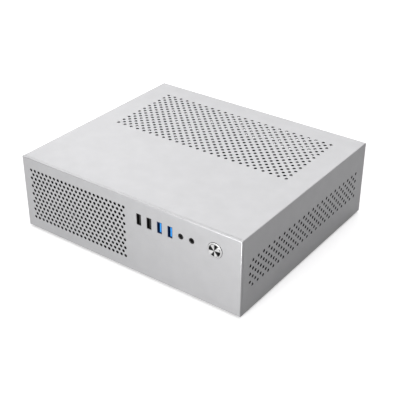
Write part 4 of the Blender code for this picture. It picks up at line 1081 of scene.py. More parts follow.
def make_fan(name, body, blades):
    """A square fan: flanged frame, curved struts, domed hub and swept blades."""
    low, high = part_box(f"{name}_frame")
    rotor_low, rotor_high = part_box(f"{name}_rotor")
    size = high - low
    axis = min(range(3), key=lambda index: size[index])
    side = max(size)
    depth = size[axis]
    struts_first = rotor_low[axis] - low[axis] > high[axis] - rotor_high[axis]
    centre = (low + high) / 2
    foot = centre.copy()
    foot[axis] = low[axis] if struts_first else high[axis]
    direction = ("X", "Y", "Z")[axis] if struts_first else ("-X", "-Y", "-Z")[axis]
    place = Matrix.Translation(foot) @ AXIS_TURNS[direction]
    half = side / 2
    bore = half - 1.2 * MM
    hub = side * 0.21
    flange = 2.2 * MM if side > 50 * MM else 1.6 * MM

    frame_object = Shape().take(
        rounded_box(
            (-half, -half, 0.0),
            (half, half, depth),
            side * 0.05,
            lambda middle: abs(middle.z - depth / 2) < GAP,
        )
    ).object(f"{name}_housing")
    waist = Shape()
    corner = half * 0.72
    for angle in range(4):
        turn = Matrix.Rotation(angle * math.pi / 2, 4, "Z")
        notch = Shape().box((corner, corner, flange), (half + MM, half + MM, depth - flange))
        waist.add(notch.points, notch.faces, turn)
    screws = Shape()
    for x in (-1, 1):
        for y in (-1, 1):
            spot = (x * side * 0.42, y * side * 0.42, -MM)
            screws.rod(spot, side * 0.026, depth + 2 * MM, "Z", 20)
    air = Shape().lathe(
        [
            (0.0, -MM),
            (bore + MM, -MM),
            (bore + 0.4 * MM, 0.0),
            (bore, 1.0 * MM),
            (bore, depth - 1.2 * MM),
            (bore + 0.6 * MM, depth),
            (bore + 1.6 * MM, depth + MM),
            (0.0, depth + MM),
        ],
        (0, 0, 0),
        "Z",
        72,
    )
    carve(frame_object, waist, screws, air)
    frame_object.data.transform(place)
    piece(frame_object, "fan", "case", [f"{name}_frame"])

    struts = Shape()
    thick = 0.9 * MM
    for step in range(4):
        start = step * math.pi / 2
        line = []
        for part in range(9):
            share = part / 8
            reach = hub * 0.9 + (bore + 0.5 * MM - hub * 0.9) * share
            angle = start + 0.5 * share**1.4
            line.append(Vector((reach * math.cos(angle), reach * math.sin(angle), thick)))
        struts.ribbon(line, 1.1 * MM, thick)
    struts.lathe(
        [(0.0, 0.1 * MM), (hub - 0.5 * MM, 0.1 * MM), (hub, 0.5 * MM), (hub, 1.8 * MM), (0.0, 1.8 * MM)],
        (0, 0, 0),
        "Z",
        48,
    )
    struts.points = [place @ point for point in struts.points]
    piece((f"{name}_struts", struts), "fan", "case")

    bottom, top = 2.4 * MM, depth - 0.6 * MM
    dome = min(2.0 * MM, hub * 0.25)
    rotor = Shape().lathe(
        [
            (0.0, bottom),
            (hub - 0.5 * MM, bottom),
            (hub - GAP, bottom + 0.3 * MM),
            (hub - GAP, top - dome),
            (hub - GAP - 0.3 * dome, top - 0.3 * dome),
            (hub - GAP - dome, top),
            (hub * 0.6, top),
            (hub * 0.58, top - 0.25 * MM),
            (0.0, top - 0.25 * MM),
        ],
        (0, 0, 0),
        "Z",
        48,
    )
    reach = fan_reach(rotor_low, rotor_high, axis)
    for step in range(blades):
        rotor.blade(
            2 * math.pi * step / blades, hub - 1.2 * MM, reach, bottom + 0.4 * MM, top - 0.4 * MM, blades
        )
    rotor.points = [place @ point for point in rotor.points]
    piece((f"{name}_wheel", rotor), "fan", body, [f"{name}_rotor"], 40.0)


def fan_reach(low, high, axis):
    size = [high[index] - low[index] for index in range(3) if index != axis]
    return max(size) / 2 - 0.3 * MM


# ------------------------------------------------------------------ processor cooler and memory


def make_cooler():
    """A finned block with a cross way, its base, and four corner pins."""
    low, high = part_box("cpu_heatsink")
    base = 6.0 * MM
    middle = (low + high) / 2
    block = Shape().box(low, (high.x, high.y, low.z + base), 0.4 * MM)
    fins = 30
    pitch = (high.x - low.x - 1.0 * MM) / (fins - 1)
    thick = 0.7 * MM
    for step in range(fins):
        x = low.x + 0.5 * MM + step * pitch
        edge = abs(step - (fins - 1) / 2) / ((fins - 1) / 2)
        drop = 1.5 * MM * edge**3
        for start, end in ((low.y, middle.y - 2 * MM), (middle.y + 2 * MM, high.y)):
            block.box(
                (x - thick / 2, start + 0.3 * MM, low.z + base - 0.3 * MM),
                (x + thick / 2, end - 0.3 * MM, high.z - drop),
                0.15 * MM,
                1,
            )
    piece(("cooler_fins", block), "fins", "case", ["cpu_heatsink"])

    frame_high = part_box("cpu_fan_frame")[1]
    screws = Shape()
    for x in (-1, 1):
        for y in (-1, 1):
            spot = (middle.x + x * 0.42 * 90 * MM, middle.y + y * 0.42 * 90 * MM, frame_high.z - 2.6 * MM)
            screws.rod(spot, 2.1 * MM, 2.0 * MM, "Z", 20, 0.4 * MM)
    piece(("cooler_screws", screws), "bright", "case")


def make_cpu_socket():
    """The load frame round the processor, its lever and the processor's lid."""
    low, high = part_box("cpu_socket")
    rim = 3.2 * MM
    frame_object = Shape().box(low, high, 0.4 * MM).object("socket_frame")
    carve(
        frame_object,
        Shape().box(
            (low.x + rim, low.y + rim, high.z - 2.2 * MM), (high.x - rim, high.y - rim, high.z + MM)
        ),
    )
    piece(frame_object, "steel", "case", ["cpu_socket"])
    lid = Shape()
    lid.box(
        (low.x + 4 * MM, low.y + 4 * MM, high.z - 2.2 * MM),
        (high.x - 4 * MM, high.y - 4 * MM, high.z - 1.2 * MM),
        0.2 * MM
    )
    lid.box(
        (low.x + 8 * MM, low.y + 8 * MM, high.z - 1.4 * MM),
        (high.x - 8 * MM, high.y - 8 * MM, high.z - 0.1 * MM),
        0.5 * MM
    )
    piece(("processor_lid", lid), "bright", "case")
    lever = Shape()
    line = [
        Vector((high.x + 1.4 * MM, low.y + 2 * MM, low.z + 3 * MM)),
        Vector((high.x + 1.4 * MM, high.y + 3 * MM, low.z + 3 * MM))
    ]
    line.append(Vector((high.x + 4.5 * MM, high.y + 5 * MM, low.z + 3 * MM)))
    lever.tube(smooth_route(line), 0.7 * MM, 10)
    piece(("socket_lever", lever), "bright", "case")


def make_memory(number):
    low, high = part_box(f"memory_slot_{number}")
    board_low, board_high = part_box(f"memory_module_{number}")
    y = (low.y + high.y) / 2
    thick = 1.3 * MM
    half = thick / 2
    slot_object = Shape().box(
        low, (high.x, high.y, low.z + 8 * MM), 0.3 * MM
    ).object(f"memory_socket_{number}")
    tower = Shape().box((board_high.x + GAP, low.y, low.z), high, 0.3 * MM)
    groove = Shape().box(
        (board_low.x - GAP, y - half - GAP, low.z + 2 * MM),
        (board_high.x + GAP, y + half + GAP, low.z + 20 * MM)
    )
    weld(slot_object, tower)
    ribs = Shape()
    for step in range(34):
        x = low.x + 4 * MM + step * 4 * MM
        if x < board_high.x - MM:
            for side in (-1, 1):
                face = y + side * (high.y - low.y) / 2
                ribs.box(
                    (x, face - 0.25 * MM, low.z + MM), (x + 1.6 * MM, face + 0.25 * MM, low.z + 6.4 * MM)
                )
    carve(slot_object, groove, ribs)
    piece(slot_object, "black", "case", [f"memory_slot_{number}"])

    top = board_high.z
    board = Shape().box((board_low.x, y - half, board_low.z), (board_high.x, y + half, top), 0.12 * MM, 1)
    made = board.object(f"memory_board_{number}")
    notches = Shape()
    key_x = board_low.x + (board_high.x - board_low.x) * 0.53
    notches.box(
        (key_x - 0.8 * MM, y - MM, board_low.z - MM), (key_x + 0.8 * MM, y + MM, board_low.z + 3.8 * MM)
    )
    for x in (board_low.x, board_high.x):
        notches.rod((x, y - MM, board_low.z + 14 * MM), 1.3 * MM, 2 * MM, "Y", 20)
    carve(made, notches)
    piece(made, "board", "case", [f"memory_module_{number}"])
    chips, trims, pads = Shape(), Shape(), Shape()
    pitch = (board_high.x - board_low.x) / 8
    for side in (-1, 1):
        for step in range(8):
            x = board_low.x + (step + 0.5) * pitch
            face = y + side * (half + 0.55 * MM)
            chips.box(
                (x - 5.2 * MM, face - 0.53 * MM, board_low.z + 13.2 * MM),
                (x + 5.2 * MM, face + 0.53 * MM, board_low.z + 20.6 * MM),
                0.12 * MM
            )
            for small in range(5):
                dot = x + (small - 2) * 2.2 * MM
                face_small = y + side * (half + 0.2 * MM)
                trims.box(
                    (dot - 0.5 * MM, face_small - 0.22 * MM, board_low.z + 9.6 * MM),
                    (dot + 0.5 * MM, face_small + 0.22 * MM, board_low.z + 10.1 * MM),
                    0.06 * MM,
                    1
                )
        for step in range(60):
            x = board_low.x + 2.5 * MM + step * 2.15 * MM
            if abs(x - key_x) > 2 * MM and x < board_high.x - 2 * MM:
                face = y + side * half
                pads.box(
                    (x - 0.7 * MM, face - 0.04 * MM, board_low.z + 0.3 * MM),
                    (x + 0.7 * MM, face + 0.04 * MM, board_low.z + 3.4 * MM)
                )
    piece((f"memory_chips_{number}", chips), "chip", "case")
    piece((f"memory_trims_{number}", trims), "ferrite", "case")
    piece((f"memory_pads_{number}", pads), "gold", "case")

    latch_low, latch_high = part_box(f"memory_latch_{number}")
    foot = 2.25 * MM
    pivot = Vector((low.x - GAP - foot, y, latch_low.z + foot))
    lever = Shape()
    lever.rod(
        (pivot.x, latch_low.y + 0.2 * MM, pivot.z),
        foot,
        latch_high.y - latch_low.y - 0.4 * MM,
        "Y",
        28,
        0.3 * MM
    )
    lever.box(
        (pivot.x - foot, latch_low.y + 0.2 * MM, pivot.z),
        (pivot.x + foot, latch_high.y - 0.2 * MM, latch_high.z - 2 * MM),
        0.35 * MM
    )
    lever.box(
        (latch_low.x, latch_low.y, latch_high.z - 5 * MM),
        (pivot.x + foot * 0.5, latch_high.y, latch_high.z),
        0.6 * MM
    )
    for step in range(3):
        x = latch_low.x + (1.0 + 1.2 * step) * MM
        lever.box(
            (x, latch_low.y + 0.5 * MM, latch_high.z - 0.4 * MM),
            (x + 0.5 * MM, latch_high.y - 0.5 * MM, latch_high.z),
            0.1 * MM
        )
    piece(
        (f"memory_lever_{number}", lever),
        "grey",
        f"memory_latch_{number}",
        [f"memory_latch_{number}"]
    )


def make_card_slot():
    low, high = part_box("card_slot")
    middle = (low + high) / 2
    made = Shape().box(low, high, 0.35 * MM).object("card_connector")
    groove = Shape().box(
        (middle.x - 1.0 * MM, low.y + 2 * MM, low.z + 2 * MM),
        (middle.x + 1.0 * MM, high.y - 2 * MM, high.z + MM)
    )
    carve(made, groove)
    piece(made, "black", "case", ["card_slot"])
    strips = Shape()
    count = 78
    for side in (-1, 1):
        for step in range(count):
            y = low.y + 4 * MM + step * (high.y - low.y - 8 * MM) / (count - 1)
            x = middle.x + side * 0.92 * MM
            strips.box(
                (x - 0.08 * MM, y - 0.3 * MM, low.z + 3 * MM),
                (x + 0.08 * MM, y + 0.3 * MM, high.z - 0.6 * MM)
            )
    piece(("card_contacts", strips), "gold", "case")


def make_small_parts():
    """The drive, the chipset's heat sink and the clock's cell."""
    low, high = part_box("solid_state_drive")
    top = high.z
    board = Shape().box((low.x, low.y, top - 2.6 * MM), (high.x, high.y, top - 1.8 * MM), 0.1 * MM, 1)
    piece(("drive_board", board), "board", "case", ["solid_state_drive"])
    stand = Shape()
    stand.box((low.x, high.y - 6 * MM, low.z), (high.x, high.y, top - 2.7 * MM), 0.3 * MM)
    chips = Shape()
    for start, length in ((6, 13), (22, 18), (44, 18), (64, 9)):
        chips.box(
            (low.x + 2.5 * MM, low.y + start * MM, top - 1.8 * MM),
            (high.x - 2.5 * MM, low.y + (start + length) * MM, top - 0.4 * MM),
            0.15 * MM,
        )
    piece(("drive_socket", stand), "black", "case")
    piece(("drive_chips", chips), "chip", "case")
    screw = Shape()
    x = (low.x + high.x) / 2
    screw.rod((x, low.y + 1.5 * MM, low.z), 2.0 * MM, top - 2.6 * MM - low.z, "Z", 6)
    screw.rod((x, low.y + 1.5 * MM, top - 1.8 * MM), 2.3 * MM, 1.2 * MM, "Z", 24, 0.35 * MM)
    piece(("drive_screw", screw), "bright", "case")

    low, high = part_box("chipset_heatsink")
    block = Shape().box(low, (high.x, high.y, low.z + 3 * MM), 0.4 * MM)
    fins = 12
    for step in range(fins):
        y = low.y + 1.2 * MM + step * (high.y - low.y - 2.4 * MM) / (fins - 1)
        block.box(
            (low.x + 0.3 * MM, y - 0.6 * MM, low.z + 2.8 * MM),
            (high.x - 0.3 * MM, y + 0.6 * MM, high.z),
            0.2 * MM,
            1
        )
    piece(("chipset_fins", block), "fins", "case", ["chipset_heatsink"])

    low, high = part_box("clock_battery")
    middle = (low + high) / 2
    place = (middle.x, middle.y, low.z)
    height = high.z - low.z
    holder = Shape().lathe(
        [
            (0.0, 0.0),
            (11.6 * MM, 0.0),
            (11.8 * MM, 0.3 * MM),
            (11.8 * MM, height - 1.9 * MM),
            (11.5 * MM, height - 1.6 * MM),
            (10.4 * MM, height - 1.6 * MM),
            (10.3 * MM, height - 2.2 * MM),
            (0.0, height - 2.2 * MM),
        ],
        place,
        "Z",
        56,
    )
    piece(("cell_holder", holder), "black", "case", ["clock_battery"])
    cell = Shape().lathe(
        [
            (0.0, height - 2.2 * MM),
            (9.6 * MM, height - 2.2 * MM),
            (9.9 * MM, height - 1.9 * MM),
            (9.9 * MM, height - 0.4 * MM),
            (9.5 * MM, height - 0.05 * MM),
            (8.9 * MM, height),
            (8.7 * MM, height - 0.08 * MM),
            (0.0, height - 0.08 * MM),
        ],
        place,
        "Z",
        56,
    )
    piece(("clock_cell", cell), "bright", "case")


# ------------------------------------------------------------------ main board


def board_traces(low, high, top):
    """Raised copper lines under the mask, in bundles that turn by 45 degrees."""
    draw = random.Random(11)
    lines = Shape()
    width, pitch, rise = 0.35 * MM, 0.8 * MM, 0.05 * MM
    for _ in range(46):
        x = draw.uniform(low.x + 12 * MM, high.x - 40 * MM)
        y = draw.uniform(low.y + 12 * MM, high.y - 30 * MM)
        along = draw.uniform(12, 34) * MM
        lean = draw.uniform(5, 14) * MM
        after = draw.uniform(6, 22) * MM
        across = draw.random() < 0.5
        for number in range(draw.randint(3, 8)):
            shift = number * pitch
            knees = [(0.0, shift), (along - 0.4 * shift, shift), (along + lean - 0.4 * shift, shift + lean)]
            knees.append((along + lean + after, shift + lean))
            path = [Vector((x + (v if across else u), y + (u if across else v), top)) for u, v in knees]
            if all(low.x + MM < p.x < high.x - MM and low.y + MM < p.y < high.y - MM for p in path):
                lines.ribbon(path, width, rise)
    return lines


def make_motherboard():
    low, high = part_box("motherboard")
    top = high.z
    board = Shape().box(low, high, 0.15 * MM, 1).object("main_board")
    holes, pads, screws = Shape(), Shape(), Shape()
    for x in BOARD_HOLES_X:
        for y in BOARD_HOLES_Y:
            spot = Vector((low.x + x, high.y - y, 0.0))
            holes.rod((spot.x, spot.y, low.z - MM), 1.6 * MM, 4 * MM, "Z", 20)
            pads.rod((spot.x, spot.y, top), 4.0 * MM, 0.04 * MM, "Z", 32)
            screws.rod((spot.x, spot.y, top), 1.5 * MM, 1.0 * MM, "Z", 20)
            screws.lathe(
                [
                    (0.0, 0.05 * MM),
                    (3.0 * MM, 0.05 * MM),
                    (3.1 * MM, 0.4 * MM),
                    (2.5 * MM, 1.3 * MM),
                    (1.2 * MM, 1.75 * MM),
                    (0.0, 1.8 * MM)
                ],
                (spot.x, spot.y, top),
                "Z",
                28,
            )
    carve(board, holes)
    piece(board, "board", "case", ["motherboard"])
    piece(("board_lines", board_traces(low, high, top)), "lines", "case", weighted=False)
    piece(("board_pads", pads), "gold", "case")
    screws_object = screws.object("board_screws")
    for x in BOARD_HOLES_X:
        for y in BOARD_HOLES_Y:
            cross(screws_object, (low.x + x, high.y - y, top + 2.2 * MM), "-Z", 1.4 * MM, 1.1 * MM)
    piece(screws_object, "bright", "case")


BOARD_HOLES_X = (34.29 * MM, 80.01 * MM, 237.49 * MM)
BOARD_HOLES_Y = (10.16 * MM, 165.1 * MM)


def make_board_parts():
    """What is soldered to the main board: coils, capacitors, chips and pin headers."""
    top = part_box("motherboard")[1].z
    cooler_low, cooler_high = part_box("cpu_heatsink")
    coils, cans, ports, chips, legs = Shape(), Shape(), Shape(), Shape(), Shape()
    trims, pins, bases, slots, tongues = Shape(), Shape(), Shape(), Shape(), Shape()
    draw = random.Random(5)
    places = [(*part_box(name)[0].xy, *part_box(name)[1].xy) for name in BOARD_NODES]
    places += [(x - 4 * MM, y - 4 * MM, x + 4 * MM, y + 4 * MM) for x, y in board_holes()]

    def hold(x, y, width, length):
        places.append((x - width / 2, y - length / 2, x + width / 2, y + length / 2))

    def coil(x, y):
        hold(x, y, 7.2 * MM, 7.2 * MM)
        coils.block((x, y, top), (7.2 * MM, 7.2 * MM, 4.6 * MM), 0.6 * MM)
        coils.block((x, y, top + 4.5 * MM), (4.2 * MM, 4.2 * MM, 0.3 * MM), 0.1 * MM, 1)

    def can(x, y, radius=3.15 * MM, height=8.0 * MM):
        hold(x, y, 2 * radius, 2 * radius)
        cans.lathe(
            [
                (0.0, 0.4 * MM),
                (radius, 0.4 * MM),
                (radius, 1.4 * MM),
                (radius - 0.25 * MM, 1.7 * MM),
                (radius, 2.0 * MM),
                (radius, height - 0.5 * MM),
                (radius - 0.4 * MM, height),
                (radius - 0.8 * MM, height - 0.1 * MM),
                (0.0, height - 0.1 * MM),
            ],
            (x, y, top),
            "Z",
            28,
        )
        bases.block((x, y, top), (2 * radius, 2 * radius, 0.9 * MM), 0.2 * MM, 1)

    def chip(x, y, width, length):
        hold(x, y, width + 3 * MM, length)
        chips.block((x, y, top + 0.15 * MM), (width, length, 1.4 * MM), 0.18 * MM)
        count = max(3, int(length / (1.27 * MM)))
        for step in range(count):
            along = y + (step - (count - 1) / 2) * length / count
            for side in (-1, 1):
                edge = x + side * (width / 2 + 0.45 * MM)
                legs.block((edge, along, top), (1.1 * MM, 0.42 * MM, 0.5 * MM), 0.08 * MM, 1)

    def header(x, y, columns, rows, height=8.0 * MM):
        pitch = 2.54 * MM
        hold(x, y, columns * pitch, rows * pitch)
        bases.block((x, y, top), (columns * pitch, rows * pitch, 2.5 * MM), 0.2 * MM, 1)
        for column in range(columns):
            for row in range(rows):
                spot = (x + (column - (columns - 1) / 2) * pitch, y + (row - (rows - 1) / 2) * pitch, top)
                pins.block(spot, (0.64 * MM, 0.64 * MM, height), 0.12 * MM, 1)

    for step in range(5):
        coil(cooler_low.x + (14 + 11 * step) * MM, cooler_high.y + 8 * MM)
        can(cooler_low.x + (14 + 11 * step) * MM, cooler_high.y + 17 * MM)
    for step in range(4):
        coil(cooler_high.x + 8 * MM, cooler_low.y + (18 + 11 * step) * MM)
        can(cooler_high.x + 17 * MM, cooler_low.y + (18 + 11 * step) * MM)
    for step in range(4):
        can(-128 * MM + step * 8 * MM, 92 * MM, 2.5 * MM, 6.5 * MM)
        can(-46 * MM, 8 * MM + step * 9 * MM)
    for step in range(3):
        can(-24 * MM + step * 9 * MM, -49 * MM)
    chip(-122 * MM, 60 * MM, 9 * MM, 9 * MM)
    chip(-122 * MM, 20 * MM, 14 * MM, 14 * MM)
    chip(-120 * MM, -14 * MM, 4 * MM, 5 * MM)
    chip(-36 * MM, 62 * MM, 7 * MM, 7 * MM)
    chip(-34 * MM, 90 * MM, 10 * MM, 10 * MM)
    chip(-50 * MM, 96 * MM, 4 * MM, 5 * MM)
    chip(-106 * MM, -6 * MM, 4 * MM, 5 * MM)
    header(-28 * MM, 101 * MM, 4, 1)
    header(88 * MM, -8 * MM, 4, 1)

    for step in range(4):
        x, y = -28 * MM + step * 10 * MM, -61 * MM
        hold(x, y, 6 * MM, 16 * MM)
        ports.block((x, y, top), (5.6 * MM, 16 * MM, 8.5 * MM), 0.35 * MM)
        slots.box((x - 1.7 * MM, y - 6.6 * MM, top + 2 * MM), (x + 1.7 * MM, y + 6.6 * MM, top + 12 * MM))
        tongues.box(
            (x + 0.1 * MM, y - 5.4 * MM, top + 1.5 * MM),
            (x + 1.2 * MM, y + 5.4 * MM, top + 7.6 * MM),
            0.15 * MM,
            1
        )
    header_spots = ((-126, 5, 2), (-108, 5, 2), (-90, 9, 1), (-58, 4, 1))
    for x, columns, rows in header_spots:
        header(x * MM, -73 * MM, columns, rows)
    for _ in range(420):
        x, y = draw.uniform(-137, 101) * MM, draw.uniform(-77, 104) * MM
        if taken(places, x, y):
            continue
        size = (1.6 * MM, 0.8 * MM) if draw.random() < 0.5 else (0.8 * MM, 1.6 * MM)
        trims.block((x, y, top), (*size, 0.6 * MM), 0.1 * MM, 1)
        for side in (-1, 1):
            if size[0] > size[1]:
                legs.block((x + side * 0.75 * MM, y, top), (0.4 * MM, 0.86 * MM, 0.64 * MM), 0.05 * MM, 1)
            else:
                legs.block((x, y + side * 0.75 * MM, top), (0.86 * MM, 0.4 * MM, 0.64 * MM), 0.05 * MM, 1)
    piece(("board_coils", coils), "ferrite", "case")
    piece(("board_cans", cans), "bright", "case")
    piece(("board_bases", bases), "black", "case")
    ports = ports.object("board_ports")
    carve(ports, slots)
    piece(ports, "black", "case")
    piece(("board_port_tongues", tongues), "grey", "case")
    piece(("board_chips", chips), "chip", "case")
    piece(("board_legs", legs), "bright", "case")
    piece(("board_trims", trims), "ferrite", "case")
    piece(("board_pins", pins), "gold", "case")


def taken(places, x, y):
    """Whether something already stands on the board there."""
    margin = 2.0 * MM
    for low_x, low_y, high_x, high_y in places:
        if low_x - margin < x < high_x + margin and low_y - margin < y < high_y + margin:
            return True
    return False


BOARD_NODES = [
    "cpu_socket",
    "memory_slot_1",
    "memory_slot_2",
    "memory_latch_1",
    "memory_latch_2",
    "card_slot",
    "solid_state_drive",
    "chipset_heatsink",
    "clock_battery",
    "main_power_socket",
    "cpu_power_socket",
    "display_socket",
    "rear_usb_stack_1",
    "rear_usb_stack_2",
    "network_socket",
    "rear_audio_stack",
    "front_io_cable",
]


# ------------------------------------------------------------------ base tray and rear


def make_tray():
    low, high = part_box("base_tray")
    wall, flange = 1.0 * MM, 8.0 * MM
    board_low, board_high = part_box("motherboard")
    tray = Shape().box(low, high).object("tray_sheet")
    hollow = Shape().box(
        (low.x + wall, low.y + wall, low.z + wall), (high.x - wall, high.y - wall, high.z + 9 * MM)
    )
    above = Shape().box((low.x - MM, low.y - MM, low.z + flange), (high.x + MM, high.y - wall, high.z + MM))
    ways = Shape()
    shield_low, shield_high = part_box("io_shield")
    ways.box(
        (shield_low.x - GAP, REAR_IN - 5 * MM, shield_low.z - GAP),
        (shield_high.x + GAP, REAR_OUT + 5 * MM, shield_high.z + GAP),
    )
    for number in range(1, 5):
        cover_low, cover_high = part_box(f"slot_cover_{number}")
        x = (cover_low.x + cover_high.x) / 2
        ways.box(
            (x - 6.35 * MM, REAR_IN - 5 * MM, board_high.z),
            (x + 6.35 * MM, REAR_OUT + 5 * MM, board_high.z + 58 * MM),
        )
    unit_low, unit_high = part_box("psu_rear_plate")
    ways.box(
        (unit_low.x + 3 * MM, REAR_IN - 5 * MM, unit_low.z + 3 * MM),
        (unit_high.x - 3 * MM, REAR_OUT + 5 * MM, unit_high.z - 3 * MM),
    )
    for name in COVER_SCREWS:
        screw_low, screw_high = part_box(name)
        middle = (screw_low + screw_high) / 2
        ways.rod((middle.x, REAR_IN - 5 * MM, middle.z), 1.8 * MM, 10 * MM, "Y", 24)
    carve(tray, hollow, above, ways, hole_cutter(rear_field(), "Y", wall + 2 * MM, chamfer=0.08 * MM))
    piece(tray, "steel", "case", ["base_tray"])

    posts, rims = Shape(), Shape()
    top = board_low.z - GAP
    for spot in board_holes():
        posts.lathe(
            [
                (0.0, 0.0),
                (4.6 * MM, 0.0),
                (3.4 * MM, 0.7 * MM),
                (3.0 * MM, 1.6 * MM),
                (3.0 * MM, top - low.z - wall),
                (0.0, top - low.z - wall)
            ],
            (spot[0], spot[1], low.z + wall),
            "Z",
            24,
        )
    piece(("tray_standoffs", posts), "steel", "case")
    for name in FEET:
        foot_low, foot_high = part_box(name)
        middle = (foot_low + foot_high) / 2
        rims.lathe(
            [(0.0, 0.0), (2.6 * MM, 0.0), (2.8 * MM, 0.3 * MM), (2.2 * MM, 1.2 * MM), (0.0, 1.3 * MM)],
            (middle.x, middle.y, low.z + wall),
            "Z",
            24,
        )
    piece(("foot_rivets", rims), "bright", "case")


def rear_field():
    """Middles of the exhaust holes in the rear wall, above the sockets."""
    holes = []
    for row in range(5):
        for step in range(25 - row % 2):
            x = -57 * MM + (row % 2) * 3 * MM + step * 6 * MM
            holes.append((x, REAR_OUT, 58 * MM + row * FRONT_ROW_PITCH))
    return holes


def board_holes():
    low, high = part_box("motherboard")
    return [(low.x + x, high.y - y) for x in BOARD_HOLES_X for y in BOARD_HOLES_Y]


def make_slot_cover(number):
    low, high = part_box(f"slot_cover_{number}")
    wall = 0.9 * MM
    blank = Shape()
    blank.box((low.x, high.y - wall, low.z), (high.x, high.y, high.z), 0.12 * MM, 1)
    blank = blank.object(f"slot_blank_{number}")
    tab = Shape().box((low.x, low.y, high.z - wall), (high.x, high.y, high.z), 0.12 * MM, 1)
    weld(blank, tab)
    ways = Shape()
    x = (low.x + high.x) / 2
    for row in range(12):
        for step in range(3 - row % 2):
            spot = (x + (step - (2 - row % 2) / 2) * 4 * MM, high.y, low.z + 6 * MM + row * 4 * MM)
            ways.rod((spot[0], spot[1] - 3 * MM, spot[2]), 1.3 * MM, 6 * MM, "Y", 14)
    ways.rod((x, low.y + 5 * MM, high.z - 5 * MM), 1.9 * MM, 9 * MM, "Z", 20)
    carve(blank, ways)
    piece(blank, "steel", "case", [f"slot_cover_{number}"])


def make_shield():
    low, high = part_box("io_shield")
    plate = Shape().box(low, high, 0.1 * MM, 1).object("shield_plate")
    ways = Shape()
    for name in REAR_BLOCKS:
        block_low, block_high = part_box(name)
        ways.box(
            (block_low.x - GAP, low.y - 5 * MM, block_low.z - GAP),
            (block_high.x + GAP, high.y + 5 * MM, block_high.z + GAP),
        )
    x = low.x + 5 * MM
    for row in range(5):
        ways.box(
            (x - 1.2 * MM, low.y - 5 * MM, low.z + (7 + row * 7) * MM),
            (x + 1.2 * MM, high.y + 5 * MM, low.z + (11 + row * 7) * MM),
        )
    for step in range(7):
        for row in range(2):
            spot = Vector((low.x + (44 + step * 16) * MM, high.y + 2 * MM, high.z - (4 + 5 * row) * MM))
            if spot.x < high.x - 4 * MM and not inside_any(spot, REAR_BLOCKS, 3 * MM):
                ways.rod((spot.x, low.y - 3 * MM, spot.z), 1.4 * MM, 8 * MM, "Y", 16)
    carve(plate, ways)
    piece(plate, "bright", "case", ["io_shield"])


def inside_any(spot, names, margin):
    for name in names:
        low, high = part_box(name)
        if low.x - margin < spot.x < high.x + margin and low.z - margin < spot.z < high.z + margin:
            return True
    return False


REAR_BLOCKS = [
    "display_socket", "rear_usb_stack_1", "rear_usb_stack_2", "network_socket", "rear_audio_stack"
]


def rear_shell(name, mouths, look):
    """A socket block with its mouths sunk from the rear. Each mouth is (x, z, width, height, depth)."""
    low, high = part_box(name)
    block = Shape().box(low, high, 0.25 * MM, 1).object(f"{name}_shell")
    ways = Shape()
    for x, z, width, height, depth in mouths:
        ways.box(
            (x - width / 2, high.y - depth, z - height / 2),
            (x + width / 2, high.y + 2 * MM, z + height / 2)
        )
    carve(block, ways)
    piece(block, look, "case", [name])


def rear_tongue(name, x, z, width, height, depth, look, strips=4):
    """A tongue inside a mouth, with contact strips on its lower side."""
    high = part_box(name.rsplit("_row", 1)[0])[1]
    tongue, contacts = Shape(), Shape()
    tongue.box(
        (x - width / 2, high.y - depth - 0.5 * MM, z - height / 2),
        (x + width / 2, high.y - MM, z + height / 2),
        0.15 * MM
    )
    for step in range(strips):
        at = x + (step - (strips - 1) / 2) * width / strips
        contacts.box(
            (at - 0.2 * width / strips, high.y - depth, z - height / 2 - 0.1 * MM),
            (at + 0.2 * width / strips, high.y - 1.8 * MM, z - height / 2 + 0.05 * MM),
            0.03 * MM,
            1,
        )
    piece((f"{name}_tongue", tongue), look, "case")
    piece((f"{name}_contacts", contacts), "gold", "case")


